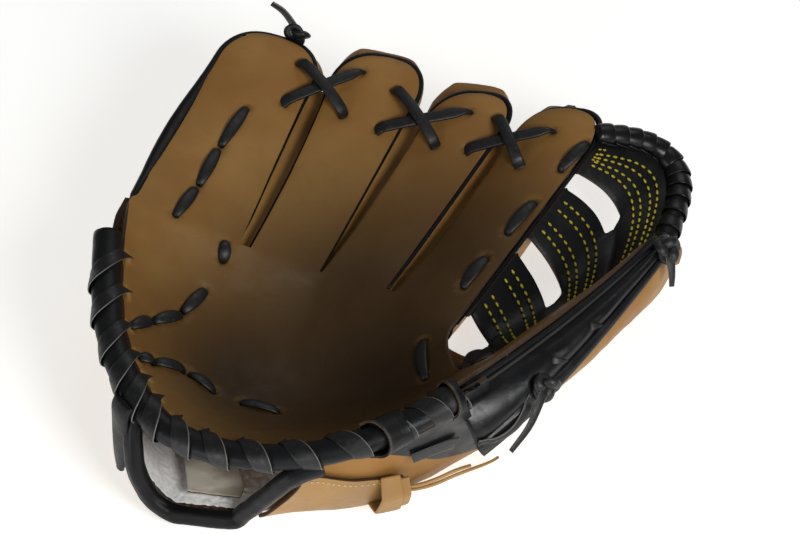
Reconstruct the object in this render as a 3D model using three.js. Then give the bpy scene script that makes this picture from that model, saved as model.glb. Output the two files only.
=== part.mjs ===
// A fielder's baseball glove for the right hand, lying on its back with the pocket open.
// Millimetres. +Y runs from the wrist to the fingertips, +X from the little finger to the
// thumb, and +Z up out of the palm. Leather pieces are walls that are lofted from a few
// sections, and each one keeps a small gap to its neighbour.
import * as THREE from "three";

// Driving dimensions
const LENGTH = 300; // heel rim to the middle fingertip, in plan
const SPAN = 280; // little finger's outer edge to the back of the thumb, in plan
const RISE = 90; // height of the little finger's face above the table
const LEATHER = 2.6; // shell leather
const GAP = 0.4; // clearance between neighbouring pieces
const FACET = 0.5; // how far a flat facet may stand off its true curve
const SEAT = GAP + FACET; // a piece that lies on a curved one starts this far off it
const FINGER_DEPTH = 28; // padded finger stall behind its face, at the root
const FINGER_TIP_DEPTH = 15; // and at the tip
const THUMB_DEPTH = 33; // thumb stall behind its face, at the root
const THUMB_TIP_DEPTH = 9; // and at the tip
const CROWN = 3.5; // how far a finger's face bulges in its middle
const CURL = 9; // how far the middle of a finger hangs below its chord
const WAIST = 0.06; // share of its width that a finger loses halfway along
const STALL_BULGE = 2.5; // how far a stall's side stands out past the face, at the tip
const CROTCH_BOW = 5; // how far the palm's edge below the index finger bows in
const POCKET = 22; // how far the palm sinks below its rim
const WELT = 3; // diameter of the piping between a finger's face and back
const WEB_LEATHER = 3.2; // two layers of web leather
const WEB_REACH = 52; // how far the web's rim bows out past the fingertips
const WEB_OUT = 9; // how far it bows towards the thumb
const WEB_DROP = 4; // how far the rim hangs
const WEB_SAG = 13; // how far the web's middle hangs
const ROLL_WIDTH = 15; // rolled heel edge, across
const ROLL_HEIGHT = 12; // rolled heel edge, through
const ROLL_WRAPS = 15; // turns of lace round the heel roll
const RIM_SIZE = 12; // laced roll along the web's top
const RIM_WRAPS = 11; // turns of lace round it
const RIDGE = 1.1; // how far a turn of lace stands proud
const LACE_WIDTH = 6.4;
const LACE_THICK = 2.2;
const STITCH_THICK = 1.6; // lace pulled tight into the leather
const BINDING = 10; // padded binding round the wrist opening
const LINING = 2.5; // fleece
const LABEL_THICK = 0.8;
const PAD = 3.5; // how far the pad on the thumb's back swells
const STRAP_THICK = 2.4; // wrist strap
const KNOT_WIDTH = 20; // folded knot of the wrist strap
const KNOT_THICK = 9;
const LACE_KNOT = 13; // knot of black lace
const TAIL_WIDTH = 5; // loose ends of lace and strap
const TAIL_THICK = 1.6;
const TAB_WIDTH = 12; // leather tab that hangs from the heel

const COLOURS = { tan: "#a0703c", black: "#1d1e20", fleece: "#e9e6df", label: "#cfc9ba", lace: "#202124" };

// Where each line between the fingers meets the palm, as shares of SPAN, LENGTH and RISE.
const ROOTS = [
  { line: "little outer", across: -0.48, along: -0.2, up: 0.955 },
  { line: "little to ring", across: -0.277, along: -0.124, up: 0.667 },
  { line: "ring to middle", across: -0.139, along: -0.061, up: 0.467 },
  { line: "middle to index", across: 0.005, along: -0.027, up: 0.422 },
  { line: "index outer", across: 0.152, along: -0.059, up: 0.467 },
];

// Fingertips: the tip's place, half of the face's width there as a vector, and the depth
// as a share of FINGER_DEPTH.
const FINGERS = [
  {
    name: "little", across: -0.473, along: 0.302, up: 1.01,
    halfAcross: 0.094, halfAlong: 0.028, halfUp: -0.056, depth: 1.3,
  },
  {
    name: "ring", across: -0.268, along: 0.389, up: 0.9,
    halfAcross: 0.086, halfAlong: 0.032, halfUp: -0.039, depth: 1.25,
  },
  {
    name: "middle", across: -0.063, along: 0.414, up: 0.81,
    halfAcross: 0.075, halfAlong: 0.03, halfUp: -0.011, depth: 1,
  },
  {
    name: "index", across: 0.118, along: 0.457, up: 0.82,
    halfAcross: 0.083, halfAlong: 0.015, halfUp: 0.039, depth: 1,
  },
];
const THUMB = {
  name: "thumb", across: 0.43, along: 0.235, up: 0.72,
  halfAcross: 0.014, halfAlong: -0.012, halfUp: 0.25, depth: 1,
};

// How each stall's back stands out past its face. The root's gaps are the shares of the
// width between two root lines that the face leaves free at each side. The fills are how
// far the wall stands out into the gap at each side, and the tip's shift to the left, as
// shares of SPAN. The tip's overhang is a share of LENGTH.
const STALLS = {
  little: { leftGap: 0, rightGap: 0.03, leftFill: 0.018, rightFill: 0.034, tipOut: 0.017, tipLeft: 0 },
  ring: { leftGap: 0.1, rightGap: 0.03, leftFill: 0, rightFill: 0.037, tipOut: 0.045, tipLeft: 0.036 },
  middle: { leftGap: 0, rightGap: 0.14, leftFill: 0, rightFill: 0.036, tipOut: 0.055, tipLeft: 0.056 },
  index: { leftGap: 0, rightGap: 0, leftFill: 0, rightFill: 0.016, tipOut: 0.045, tipLeft: 0.046 },
  thumb: { leftGap: 0, rightGap: 0, leftFill: 0, rightFill: 0, tipOut: 0.017, tipLeft: 0 },
};

// The heel's rim, from the little finger's side round to the thumb.
const RIM = [
  { across: -0.466, along: -0.29, up: 0.94 },
  { across: -0.397, along: -0.393, up: 0.89 },
  { across: -0.326, along: -0.474, up: 0.83 },
  { across: -0.247, along: -0.533, up: 0.76 },
  { across: -0.153, along: -0.57, up: 0.69 },
  { across: -0.06, along: -0.566, up: 0.65 },
  { across: 0.04, along: -0.537, up: 0.65 },
  { across: 0.136, along: -0.49, up: 0.7 },
  { across: 0.218, along: -0.423, up: 0.77 },
  { across: 0.278, along: -0.348, up: 0.83 },
  { across: 0.309, along: -0.3, up: 0.87 },
];
const WEB_CORNER = { across: 0.239, along: -0.191, up: 0.61 }; // where palm, web and thumb meet

// The back of the hand, one row for each section from the wrist opening to the knuckles.
// A wall's top hangs from the heel's rim at a share of its length, moved out and down by
// shares of the roll's width and height, or has a place of its own. The floor's edges are
// shares of SPAN and LENGTH.
const BACK = [
  { leftRim: 0.36, leftOut: 0.75, leftDown: 1.3, rightRim: 0.66, rightOut: 0.3, rightDown: 0.8,
    leftAcross: -0.12, leftAlong: -0.585, rightAcross: 0.0, rightAlong: -0.54, floorUp: 0.075 },
  { leftRim: 0.25, leftOut: 0, leftDown: 0.64, rightRim: 0.72, rightOut: 0, rightDown: 0.64,
    leftAcross: -0.17, leftAlong: -0.5, rightAcross: 0.07, rightAlong: -0.455, floorUp: 0.035 },
  { leftRim: 0.16, leftOut: 0, leftDown: 0.64, rightRim: 0.82, rightOut: 0, rightDown: 0.64,
    leftAcross: -0.2, leftAlong: -0.4, rightAcross: 0.16, rightAlong: -0.36, floorUp: 0 },
  { leftRim: 0.06, leftOut: 0, leftDown: 0.64, rightRim: 0.94, rightOut: 0.1, rightDown: 1,
    leftAcross: -0.21, leftAlong: -0.27, rightAcross: 0.235, rightAlong: -0.245, floorUp: 0 },
  { leftTop: { across: -0.508, along: -0.215, up: 0.8 }, rightTop: { across: 0.322, along: -0.17, up: 0.2 },
    leftAcross: -0.19, leftAlong: -0.13, rightAcross: 0.22, rightAlong: -0.13, floorUp: 0 },
  { leftTop: { across: -0.54, along: -0.14, up: 0.72 }, rightTop: { across: 0.21, along: -0.02, up: 0.22 },
    leftAcross: -0.14, leftAlong: -0.02, rightAcross: 0.1, rightAlong: 0, floorUp: 0 },
];

// Stitches of black lace between two holes. On the palm a hole is given by its share from
// the little finger's side to the thumb's, and its share from the fingers down to the rim.
const PALM_STITCHES = [
  { fromAcross: 0.215, fromDown: 0.02, toAcross: 0.23, toDown: 0.105 },
  { fromAcross: 0.177, fromDown: 0.93, toAcross: 0.185, toDown: 0.75 },
  { fromAcross: 0.19, fromDown: 0.71, toAcross: 0.215, toDown: 0.515 },
  { fromAcross: 0.215, fromDown: 0.475, toAcross: 0.23, toDown: 0.29 },
  { fromAcross: 0.25, fromDown: 0.95, toAcross: 0.265, toDown: 0.88 },
  { fromAcross: 0.27, fromDown: 0.85, toAcross: 0.315, toDown: 0.72 },
  { fromAcross: 0.333, fromDown: 0.7, toAcross: 0.395, toDown: 0.675 },
  { fromAcross: 0.47, fromDown: 0.65, toAcross: 0.55, toDown: 0.635 },
  { fromAcross: 0.905, fromDown: 0.21, toAcross: 0.89, toDown: 0.46 },
];
// On a finger's face, its share from root to tip, and from -1 at the left edge to 1.
const FINGER_STITCHES = [
  { finger: 0, fromAlong: 0.62, fromAcross: 0.02, toAlong: 0.41, toAcross: -0.1 },
  { finger: 0, fromAlong: 0.38, fromAcross: -0.11, toAlong: 0.2, toAcross: -0.11 },
  { finger: 0, fromAlong: 0.17, fromAcross: -0.12, toAlong: 0.02, toAcross: -0.19 },
  { finger: 3, fromAlong: 0.865, fromAcross: 0.93, toAlong: 0.735, toAcross: 0.78 },
  { finger: 3, fromAlong: 0.575, fromAcross: 0.75, toAlong: 0.425, toAcross: 0.65 },
  { finger: 3, fromAlong: 0.295, fromAcross: 0.6, toAlong: 0.155, toAcross: 0.56 },
];
// Straight laces that cross the gap from one fingertip to the next, in pairs.
const TIP_LACES = [
  { left: 0, fromAlong: 0.907, fromAcross: 0.67, toAlong: 0.7, toAcross: -0.41, over: true },
  { left: 0, fromAlong: 0.707, fromAcross: 0.66, toAlong: 0.907, toAcross: -0.42, over: false },
  { left: 1, fromAlong: 0.86, fromAcross: 0.48, toAlong: 0.72, toAcross: -0.34, over: true },
  { left: 1, fromAlong: 0.673, fromAcross: 0.54, toAlong: 0.897, toAcross: 0.02, over: false },
  { left: 2, fromAlong: 0.893, fromAcross: 0.78, toAlong: 0.71, toAcross: -0.26, over: true },
  { left: 2, fromAlong: 0.72, fromAcross: 0.56, toAlong: 0.88, toAcross: 0, over: false },
];

const place = (row) => new THREE.Vector3(row.across * SPAN, row.along * LENGTH, row.up * RISE);
const mix = (a, b, t) => a.clone().lerp(b, t);
const smooth = (t) => t * t * (3 - 2 * t);
const clamp = (t) => Math.min(1, Math.max(0, t));

const MERGE = 0.01; // points closer than this are one point

// A surface of quads and triangles whose shared points are merged.
class Skin {
  constructor() {
    this.points = [];
    this.faces = [];
  }
  point(p) {
    const found = this.points.findIndex((q) => q.distanceTo(p) < MERGE);
    return found < 0 ? this.points.push(p.clone()) - 1 : found;
  }
  face(...points) {
    const ids = points.map((p) => this.point(p)).filter((id, i, all) => id !== all[(i + 1) % all.length]);
    if (ids.length > 2) this.faces.push(ids);
  }
  // at(u, v) for each pair of neighbouring values; its faces look along du x dv.
  patch(us, vs, at, keep = () => true) {
    for (let i = 0; i + 1 < us.length; i++) {
      for (let j = 0; j + 1 < vs.length; j++) {
        const [u, U, v, V] = [us[i], us[i + 1], vs[j], vs[j + 1]];
        if (keep((u + U) / 2, (v + V) / 2)) this.face(at(u, v), at(U, v), at(U, V), at(u, V));
      }
    }
    return this;
  }
}

function solid(points, index) {
  const geometry = new THREE.BufferGeometry();
  const positions = points.flatMap((p) => [p.x, p.y, p.z]);
  geometry.setAttribute("position", new THREE.Float32BufferAttribute(positions, 3));
  geometry.setIndex(index);
  return geometry;
}

const steps = (count, from = 0, to = 1) =>
  Array.from({ length: count + 1 }, (_, i) => from + ((to - from) * i) / count);

// The closed wall that starts the offset behind a skin and is as thick as given.
function wall(skin, thickness, offset = 0) {
  const normals = skin.points.map(() => new THREE.Vector3());
  const triangles = [];
  for (const ids of skin.faces) {
    for (let k = 1; k + 1 < ids.length; k++) triangles.push([ids[0], ids[k], ids[k + 1]]);
  }
  for (const [a, b, c] of triangles) {
    const [p, q, r] = [a, b, c].map((id) => skin.points[id]);
    const normal = q.clone().sub(p).cross(r.clone().sub(p));
    for (const id of [a, b, c]) normals[id].add(normal);
  }
  const count = skin.points.length;
  normals.forEach((normal) => normal.normalize());
  const moved = (depth) => skin.points.map((p, i) => p.clone().addScaledVector(normals[i], -depth));
  const edges = new Map();
  for (const [a, b, c] of triangles) {
    for (const [p, q] of [[a, b], [b, c], [c, a]]) edges.set(`${p},${q}`, [p, q]);
  }
  const index = [];
  for (const [a, b, c] of triangles) index.push(a, b, c, a + count, c + count, b + count);
  for (const [p, q] of edges.values()) {
    if (!edges.has(`${q},${p}`)) index.push(q, p, p + count, q, p + count, q + count);
  }
  return solid([...moved(offset), ...moved(offset + thickness)], index);
}

// A closed bar along a path. sectionAt(i) gives the ring of points at step i.
function bar(count, sectionAt) {
  const rings = Array.from({ length: count }, (_, i) => sectionAt(i));
  const sides = rings[0].length;
  const index = [];
  for (let i = 0; i + 1 < count; i++) {
    for (let k = 0; k < sides; k++) {
      const [a, b] = [i * sides + k, i * sides + ((k + 1) % sides)];
      index.push(a, b, b + sides, a, b + sides, a + sides);
    }
  }
  const last = (count - 1) * sides;
  for (let k = 1; k + 1 < sides; k++) index.push(0, k + 1, k, last, last + k, last + k + 1);
  return solid(rings.flat(), index);
}

// Tangent, side and up at each point of a path, from an up direction for each point.
function frames(path, upAt) {
  return path.map((p, i) => {
    const tangent = path[Math.min(i + 1, path.length - 1)].clone().sub(path[Math.max(i - 1, 0)]).normalize();
    const side = tangent.clone().cross(upAt(i)).normalize();
    return { p, tangent, side, up: side.clone().cross(tangent).normalize() };
  });
}

// A flat strap that lies on a path, with its width from widthAt(i).
function strap(path, upAt, thick = LACE_THICK, widthAt = () => LACE_WIDTH) {
  const made = frames(path, upAt);
  return bar(path.length, (i) => {
    const { p, side, up } = made[i];
    const corner = (s, u) =>
      p.clone().addScaledVector(side, (s * widthAt(i)) / 2).addScaledVector(up, u * thick);
    return [corner(-1, 0), corner(-1, 1), corner(1, 1), corner(1, 0)];
  });
}

// A round or oval tube along a path, whose radius grows by growAt(i).
function tube(path, upAt, sides, width, height, growAt = () => 0) {
  const made = frames(path, upAt);
  return bar(path.length, (i) =>
    Array.from({ length: sides }, (_, k) => {
      const turn = (-2 * Math.PI * (k + 0.5)) / sides;
      return made[i].p
        .clone()
        .addScaledVector(made[i].side, Math.cos(turn) * (width / 2 + growAt(i)))
        .addScaledVector(made[i].up, Math.sin(turn) * (height / 2 + growAt(i)));
    }),
  );
}

const UP = new THREE.Vector3(0, 0, 1);
const glove = new THREE.Group();

function add(name, geometry, colour, roughness = 0.55) {
  const material = new THREE.MeshStandardMaterial({ color: COLOURS[colour], roughness, metalness: 0 });
  const mesh = new THREE.Mesh(geometry, material);
  mesh.name = name;
  glove.add(mesh);
  return mesh;
}

// The rim, the palm and the faces of the fingers and the thumb
const rimCurve = new THREE.CatmullRomCurve3(RIM.map(place));
const roots = ROOTS.map(place);
const webCorner = place(WEB_CORNER);
const palmCentre = new THREE.Vector3(-0.05 * SPAN, -0.2 * LENGTH, 0.55 * RISE);

// The way from the rim to the palm, square to the rim.
function inward(t) {
  const tangent = rimCurve.getTangent(t);
  const way = palmCentre.clone().sub(rimCurve.getPoint(t));
  return way.addScaledVector(tangent, -way.dot(tangent)).normalize();
}

// The palm's own edge lies just inside the roll.
const palmEdge = (t) => rimCurve.getPoint(t).addScaledVector(inward(t), ROLL_WIDTH / 2 + RIDGE + GAP + FACET);

function rootLine(t) {
  const k = Math.min(3, Math.floor(t * 4 + MERGE));
  return mix(roots[k], roots[k + 1], t * 4 - k);
}

const CORNER_DOWN = 0.5; // share of the way from root to rim where the web's corner lies
function palmRight(r) {
  const bow = new THREE.Vector3(-CROTCH_BOW * Math.sin(Math.PI * r / CORNER_DOWN), 0, 0);
  return r < CORNER_DOWN
    ? mix(roots[4], webCorner, r / CORNER_DOWN).add(bow)
    : mix(webCorner, palmEdge(1), (r - CORNER_DOWN) / (1 - CORNER_DOWN));
}

// The palm: t runs from the little finger's side to the thumb's, r from the roots to the rim.
function palm(t, r) {
  const left = mix(roots[0], palmEdge(0), r);
  const ruled = mix(rootLine(t), palmEdge(t), r).add(mix(left, palmRight(r), t));
  const corners = mix(mix(roots[0], roots[4], t), mix(palmEdge(0), palmEdge(1), t), r);
  const sag = POCKET * Math.sin(Math.PI * r) ** 0.8 * Math.sin(Math.PI * t) ** 0.8;
  return ruled.sub(corners).addScaledVector(UP, -sag);
}

const TIP_START = 0.84; // share of a stall's length where its tip begins to round
const BLUNT = 0.4; // share of the width that is left at the very tip
const tipShare = (s) => Math.sqrt(1 - (1 - BLUNT ** 2) * clamp((s - TIP_START) / (1 - TIP_START)) ** 2);

// One stall: its centre line, half width and normal at the share s of its length.
function stall(row, rootFrom, rootTo, curl, rootDepth, tipDepth) {
  const tip = place(row);
  const rootMid = mix(rootFrom, rootTo, 0.5);
  const rootHalf = rootTo.clone().sub(rootFrom).multiplyScalar(0.5);
  const tipHalf = new THREE.Vector3(row.halfAcross * SPAN, row.halfAlong * LENGTH, row.halfUp * RISE);
  const control = mix(rootMid, tip, 0.5).sub(curl);
  const line = new THREE.QuadraticBezierCurve3(rootMid, control, tip);
  const centre = (s) => line.getPoint(s);
  const waist = (s) => 1 - WAIST * Math.sin(Math.PI * clamp(s));
  const half = (s) => mix(rootHalf, tipHalf, s).multiplyScalar(tipShare(s) * waist(s));
  const normal = (s) => half(s).cross(line.getTangent(s)).normalize();
  const face = (s, t) => centre(s).addScaledVector(half(s), t)
    .addScaledVector(normal(s), CROWN * smooth(clamp(2.5 * s)) * tipShare(s) * (1 - t * t));
  const depth = (s) => (rootDepth * (1 - s) + tipDepth * s) * (1 + (row.depth - 1) * (1 - s));
  const along = (s) => line.getTangent(clamp(s));
  return { name: row.name, centre, half, normal, face, depth, along, shape: STALLS[row.name] };
}

// The shares of the root line where a finger's face begins and ends.
const rootSpan = (i) => {
  const { leftGap, rightGap } = STALLS[FINGERS[i].name];
  return [(i + leftGap) / 4, (i + 1 - rightGap) / 4];
};
const hang = new THREE.Vector3(0, 0, CURL);
const fingers = FINGERS.map((row, i) => {
  const [from, to] = rootSpan(i).map(rootLine);
  return stall(row, from, to, hang, FINGER_DEPTH, FINGER_TIP_DEPTH);
});
const lean = new THREE.Vector3(-CURL, 0, 0);
const thumb = stall(THUMB, webCorner, palmEdge(1), lean, THUMB_DEPTH, THUMB_TIP_DEPTH);
const STALL_ROWS = [0, 0.14, 0.28, 0.42, 0.56, 0.7, 0.79, 0.86, 0.92, 0.965, 0.99, 1];
const ACROSS = steps(4, -1, 1);

function palmPanel() {
  const skin = new Skin();
  const columns = [...new Set([0, 1, 2, 3].flatMap((i) => [i / 4, ...steps(4, ...rootSpan(i))])), 1]
    .filter((t, i, all) => i === 0 || t - all[i - 1] > MERGE / 10);
  skin.patch(columns, steps(10).reverse(), palm);
  for (const finger of fingers) skin.patch(ACROSS, STALL_ROWS, (t, s) => finger.face(s, t));
  const thumbAcross = steps(5, -1, 1);
  skin.patch(thumbAcross, STALL_ROWS, (t, s) => thumb.face(s, t));
  return wall(skin, LEATHER);
}

// The back of a stall: a trough whose rim lies under the welt, closed at the tip.
const SEAM_DEPTH = LEATHER + GAP + WELT + GAP;
const TROUGH_INSET = 1.2;
const TROUGH_ROWS = [0.03, 0.16, 0.3, 0.45, 0.6, 0.72, 0.82, 0.9, 0.955, 0.985];
const TROUGH_TURNS = steps(8, 0, Math.PI);

const SIDES = 0.75; // below 1 the trough's section is fuller than an ellipse
const FILL_FROM = 0.8; // share of the length where a side stands out in full
const SHIFT_FROM = 0.6; // share of the length where the tip's shift begins
function troughPoint(stallOf, s, turn, out = 0) {
  const { leftFill, rightFill, tipOut, tipLeft } = stallOf.shape;
  const half = stallOf.half(s);
  const deep = Math.sin(turn);
  const fill = SPAN * Math.sin((Math.PI / 2) * clamp(s / FILL_FROM)) * Math.abs(Math.sin(2 * turn)) ** 0.5;
  const width = half.length() - TROUGH_INSET + STALL_BULGE * s * deep + out;
  const past = clamp((s - TIP_START) / (1 - TIP_START));
  const depth = stallOf.depth(s) * Math.sqrt(1 - 0.8 * past ** 2);
  const side = Math.sign(Math.cos(turn)) * Math.abs(Math.cos(turn)) ** SIDES;
  const shift = SPAN * tipLeft * smooth(clamp((s - SHIFT_FROM) / (1 - SHIFT_FROM))) * deep ** 0.5;
  return stallOf
    .centre(s)
    .addScaledVector(stallOf.along(s), LENGTH * tipOut * smooth(clamp(2 * s - 1)) * deep ** 0.6)
    .addScaledVector(stallOf.normal(s), -SEAM_DEPTH - depth * deep ** SIDES - out * deep)
    .addScaledVector(half.normalize(), side * width + (side > 0 ? rightFill : -leftFill) * fill - shift);
}

function stallBack(stallOf) {
  const skin = new Skin();
  const at = (turn, s) => troughPoint(stallOf, s, turn);
  skin.patch(TROUGH_TURNS, TROUGH_ROWS, at);
  const last = TROUGH_ROWS.at(-1);
  const end = TROUGH_TURNS.map((turn) => at(turn, last));
  const middle = mix(end[0], end.at(-1), 0.5);
  for (let k = 0; k + 1 < end.length; k++) skin.face(end[k], end[k + 1], middle);
  return wall(skin, LEATHER);
}

// The welt between a stall's face and its back, from root round the tip to root.
function welt(stallOf) {
  const inset = WELT * 0.1;
  const depth = LEATHER + GAP + WELT / 2;
  const along = [0.14, 0.27, 0.42, 0.58, 0.72, 0.82, 0.9, 0.955, 0.985];
  const side = (s, sign) => {
    const half = stallOf.half(s);
    return stallOf.centre(s).addScaledVector(stallOf.normal(s), -depth)
      .addScaledVector(half.clone().normalize(), sign * (half.length() - inset));
  };
  const path = [...along.map((s) => side(s, -1)), ...along.map((s) => side(s, 1)).reverse()];
  const shares = [...along, ...[...along].reverse()];
  return tube(path, (i) => stallOf.normal(shares[i]), 5, WELT, WELT * 0.95);
}

add("palm_panel", palmPanel(), "tan");
for (const finger of fingers) {
  add(`${finger.name}_finger_back`, stallBack(finger), "tan");
  add(`${finger.name}_finger_welt`, welt(finger), "black");
}
add("thumb_back", stallBack(thumb), "tan");
add("thumb_welt", welt(thumb), "black");

// The pad on the thumb's back swells towards its middle, and narrows towards the tip.
const PAD_SPAN = {
  root: 0.04, tip: 0.92, // shares of the thumb's length
  top: 0.015 * Math.PI, rootBottom: 0.37 * Math.PI, tipBottom: 0.13 * Math.PI, // turns of its trough
};
function padPoint(u, v, raised = 0) {
  const s = PAD_SPAN.root + (PAD_SPAN.tip - PAD_SPAN.root) * v;
  const bottom = PAD_SPAN.rootBottom + (PAD_SPAN.tipBottom - PAD_SPAN.rootBottom) * v;
  const swell = PAD * Math.sin(Math.PI * u) ** 0.7 * Math.sin(Math.PI * v) ** 0.5;
  return troughPoint(thumb, s, PAD_SPAN.top + (bottom - PAD_SPAN.top) * u, SEAT + LEATHER + swell + raised);
}
function thumbPad() {
  return wall(new Skin().patch(steps(4), steps(10), padPoint), LEATHER);
}
add("thumb_pad", thumbPad(), "black", 0.35);

// The rolled heel edge, with a ridge for each turn of its lace
function laced(curveAt, wraps, width, height, sides = 8) {
  const perWrap = 3;
  const path = steps(wraps * perWrap).map(curveAt);
  return tube(path, () => UP, sides, width, height, (i) => (i % perWrap === 1 ? RIDGE : 0));
}
add("heel_roll", laced((t) => rimCurve.getPoint(t), ROLL_WRAPS, ROLL_WIDTH, ROLL_HEIGHT), "black");

// The web: w runs from the index finger to the thumb, h from the crotch to the rim.
const CROTCH_SHARE = 0.24; // share of the web's index side that runs along the palm
const WEB_LEFT_END = 0.93; // share of the index finger where the web ends
const WEB_RIGHT = { from: 0.06, to: 0.94 }; // shares of the thumb where it begins and ends
const WEB_CLEAR = WELT + GAP + FACET;
function webLeft(h) {
  const index = fingers[3];
  if (h < CROTCH_SHARE) {
    const out = roots[4].clone().sub(webCorner).cross(UP).normalize();
    return mix(webCorner, roots[4], h / CROTCH_SHARE).addScaledVector(out, WEB_CLEAR)
      .addScaledVector(UP, -LEATHER - SEAT);
  }
  const s = ((h - CROTCH_SHARE) / (1 - CROTCH_SHARE)) * WEB_LEFT_END;
  const half = index.half(s);
  return index.centre(s).addScaledVector(half.clone().normalize(), half.length() + WEB_CLEAR)
    .addScaledVector(UP, -LEATHER);
}
function webRight(h) {
  const s = WEB_RIGHT.from + (WEB_RIGHT.to - WEB_RIGHT.from) * h;
  const half = thumb.half(s);
  return thumb.centre(s).addScaledVector(half.clone().normalize(), -half.length() - WEB_CLEAR);
}
// Its bars slant towards the thumb, and the lowest one rises in the middle.
const WEB_TOP = 0.95; // share of the height where the panel ends
const WEB_SLANT = 0.065; // share of the height that a bar climbs or falls at its ends
const SLANT_END = 0.15; // below the top by this share the slant is whole
const LIFT_TOP = 0.25; // share of the height up to which the rows rise
const LIFT_FROM = 0.05; // share from which they rise in full
const LIFT_SHARE = 0.75; // share of the way to LIFT_TOP
const LIFT_END = 0.93; // share of the width where the rise ends
function webShare(w, h) {
  const whole = smooth(clamp((WEB_TOP - h) / SLANT_END)) * smooth(clamp(h / LIFT_TOP));
  const rise = LIFT_SHARE * Math.sin(Math.PI * clamp(w / LIFT_END)) * smooth(clamp(h / LIFT_FROM));
  return h + WEB_SLANT * (1 - 2 * w) * whole + rise * clamp(LIFT_TOP - h);
}
function web(w, h) {
  const bow = Math.sin(Math.PI * w);
  const share = webShare(w, h);
  return mix(webLeft(share), webRight(share), w)
    .add(new THREE.Vector3(WEB_OUT, WEB_REACH, -WEB_DROP).multiplyScalar(bow * share * share))
    .addScaledVector(UP, -WEB_SAG * bow * Math.sin(Math.PI * share));
}

// Windows of the web, as shares of its height and width.
const WEB_WINDOWS = [
  { from: LIFT_FROM, to: LIFT_TOP, reach: 0.46 },
  { from: 0.48, to: 0.547, reach: 0.58 },
  { from: 0.73, to: 0.79, reach: 0.46 },
];
const WEB_COLUMNS = [0, 0.115, 0.23, 0.345, 0.46, 0.52, 0.58, 0.68, 0.78, 0.89, 1];
const WEB_ROWS = [
  0, 0.05, 0.11, 0.18, 0.25, 0.33, 0.405, 0.48, 0.547, 0.61, 0.67, 0.73, 0.79, 0.84, 0.895, WEB_TOP,
];
function webPanel() {
  const keep = (w, h) => !WEB_WINDOWS.some((o) => h > o.from && h < o.to && w < o.reach);
  return wall(new Skin().patch(WEB_COLUMNS, WEB_ROWS, web, keep), WEB_LEATHER);
}
add("web_panel", webPanel(), "black");

// The rim lies just beyond the web's top edge, square to it.
function webRimAt(w) {
  const edge = web(w, WEB_TOP);
  const along = web(w + 0.01, WEB_TOP).sub(web(w - 0.01, WEB_TOP)).normalize();
  const out = edge.clone().sub(web(w, WEB_TOP - 0.02));
  out.addScaledVector(along, -out.dot(along)).normalize();
  return edge.addScaledVector(out, RIM_SIZE / 2 + RIDGE + GAP);
}
const RIM_SPAN = { from: 0.04, to: 0.89 }; // shares of the web's width
const rimSpan = (t) => RIM_SPAN.from + (RIM_SPAN.to - RIM_SPAN.from) * t;
add("web_rim", laced((t) => webRimAt(rimSpan(t)), RIM_WRAPS, RIM_SIZE, RIM_SIZE * 0.85), "black");

// The back of the hand
function backTop(row, side) {
  if (row[`${side}Top`]) return place(row[`${side}Top`]);
  const t = row[`${side}Rim`];
  const out = inward(t).setZ(0).normalize();
  return rimCurve.getPoint(t)
    .addScaledVector(out, -row[`${side}Out`] * ROLL_WIDTH)
    .addScaledVector(UP, -row[`${side}Down`] * ROLL_HEIGHT - RIDGE - GAP);
}
const backFloor = (row, side) =>
  place({ across: row[`${side}Across`], along: row[`${side}Along`], up: row.floorUp });
const backLines = [
  BACK.map((row) => backTop(row, "left")),
  BACK.map((row) => backFloor(row, "left")),
  BACK.map((row) => backFloor(row, "right")),
  BACK.map((row) => backTop(row, "right")),
].map((points) => new THREE.CatmullRomCurve3(points));

const KNUCKLE_FULL = 0.35; // how much fuller than an ellipse the left wall is at the knuckles

// q runs along the section: 0 to 1 down the left wall, 1 to 2 the floor, 2 to 3 up the right.
function back(q, v) {
  const [left, leftFloor, rightFloor, right] = backLines.map((line) => line.getPoint(v));
  const lie = (p) => p.setZ(Math.max(p.z, 0));
  if (q >= 1 && q <= 2) return lie(mix(leftFloor, rightFloor, q - 1));
  const [top, floor, turn] = q < 1 ? [left, lie(leftFloor), q] : [right, lie(rightFloor), 3 - q];
  const angle = (turn * Math.PI) / 2;
  const full = q < 1 ? 1 - KNUCKLE_FULL * v : 1;
  const plan = mix(floor, top, Math.max(Math.cos(angle), 0) ** full);
  plan.z = floor.z + (top.z - floor.z) * (1 - Math.sin(angle) ** full);
  return plan;
}
const BACK_TURNS = [...steps(8), 1.33, 1.67, ...steps(8, 2, 3)];
const backPatch = (turns, rows) => new Skin().patch(turns, [...rows].reverse(), back);
add("hand_back", wall(backPatch(BACK_TURNS, steps(10)), LEATHER), "tan");

// The wrist opening: its padded binding, the fleece inside and a plain label on the fleece
const MOUTH_SPAN = { from: 0.12, to: 2.95 }; // turns of the back's section
const MOUTH_TURNS = steps(16, MOUTH_SPAN.from, MOUTH_SPAN.to);
const bindingPath = MOUTH_TURNS.map((q) => {
  const along = back(q + 0.02, 0).sub(back(q - 0.02, 0)).normalize();
  const out = back(q, 0).sub(back(q, 0.04));
  out.addScaledVector(along, -out.dot(along)).normalize();
  return back(q, 0).addScaledVector(out, BINDING / 2 + GAP);
});
const intoMouth = (i) => back(1.5, 0.2).sub(bindingPath[i]);
add("mouth_binding", tube(bindingPath, intoMouth, 8, BINDING, BINDING), "black");
const LINING_DEPTH = LEATHER + GAP + FACET;
const liningSkin = backPatch(steps(12, 0.25, 2.75), steps(4, 0.02, 0.42));
add("lining", wall(liningSkin, LINING, LINING_DEPTH), "fleece", 0.95);
const LABEL_DEPTH = LINING_DEPTH + LINING + GAP + LABEL_THICK;
const labelSkin = backPatch(steps(3, 1.05, 1.65), steps(2, 0.04, 0.2));
add("label", wall(labelSkin, LABEL_THICK, LABEL_DEPTH), "label", 0.8);

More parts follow.
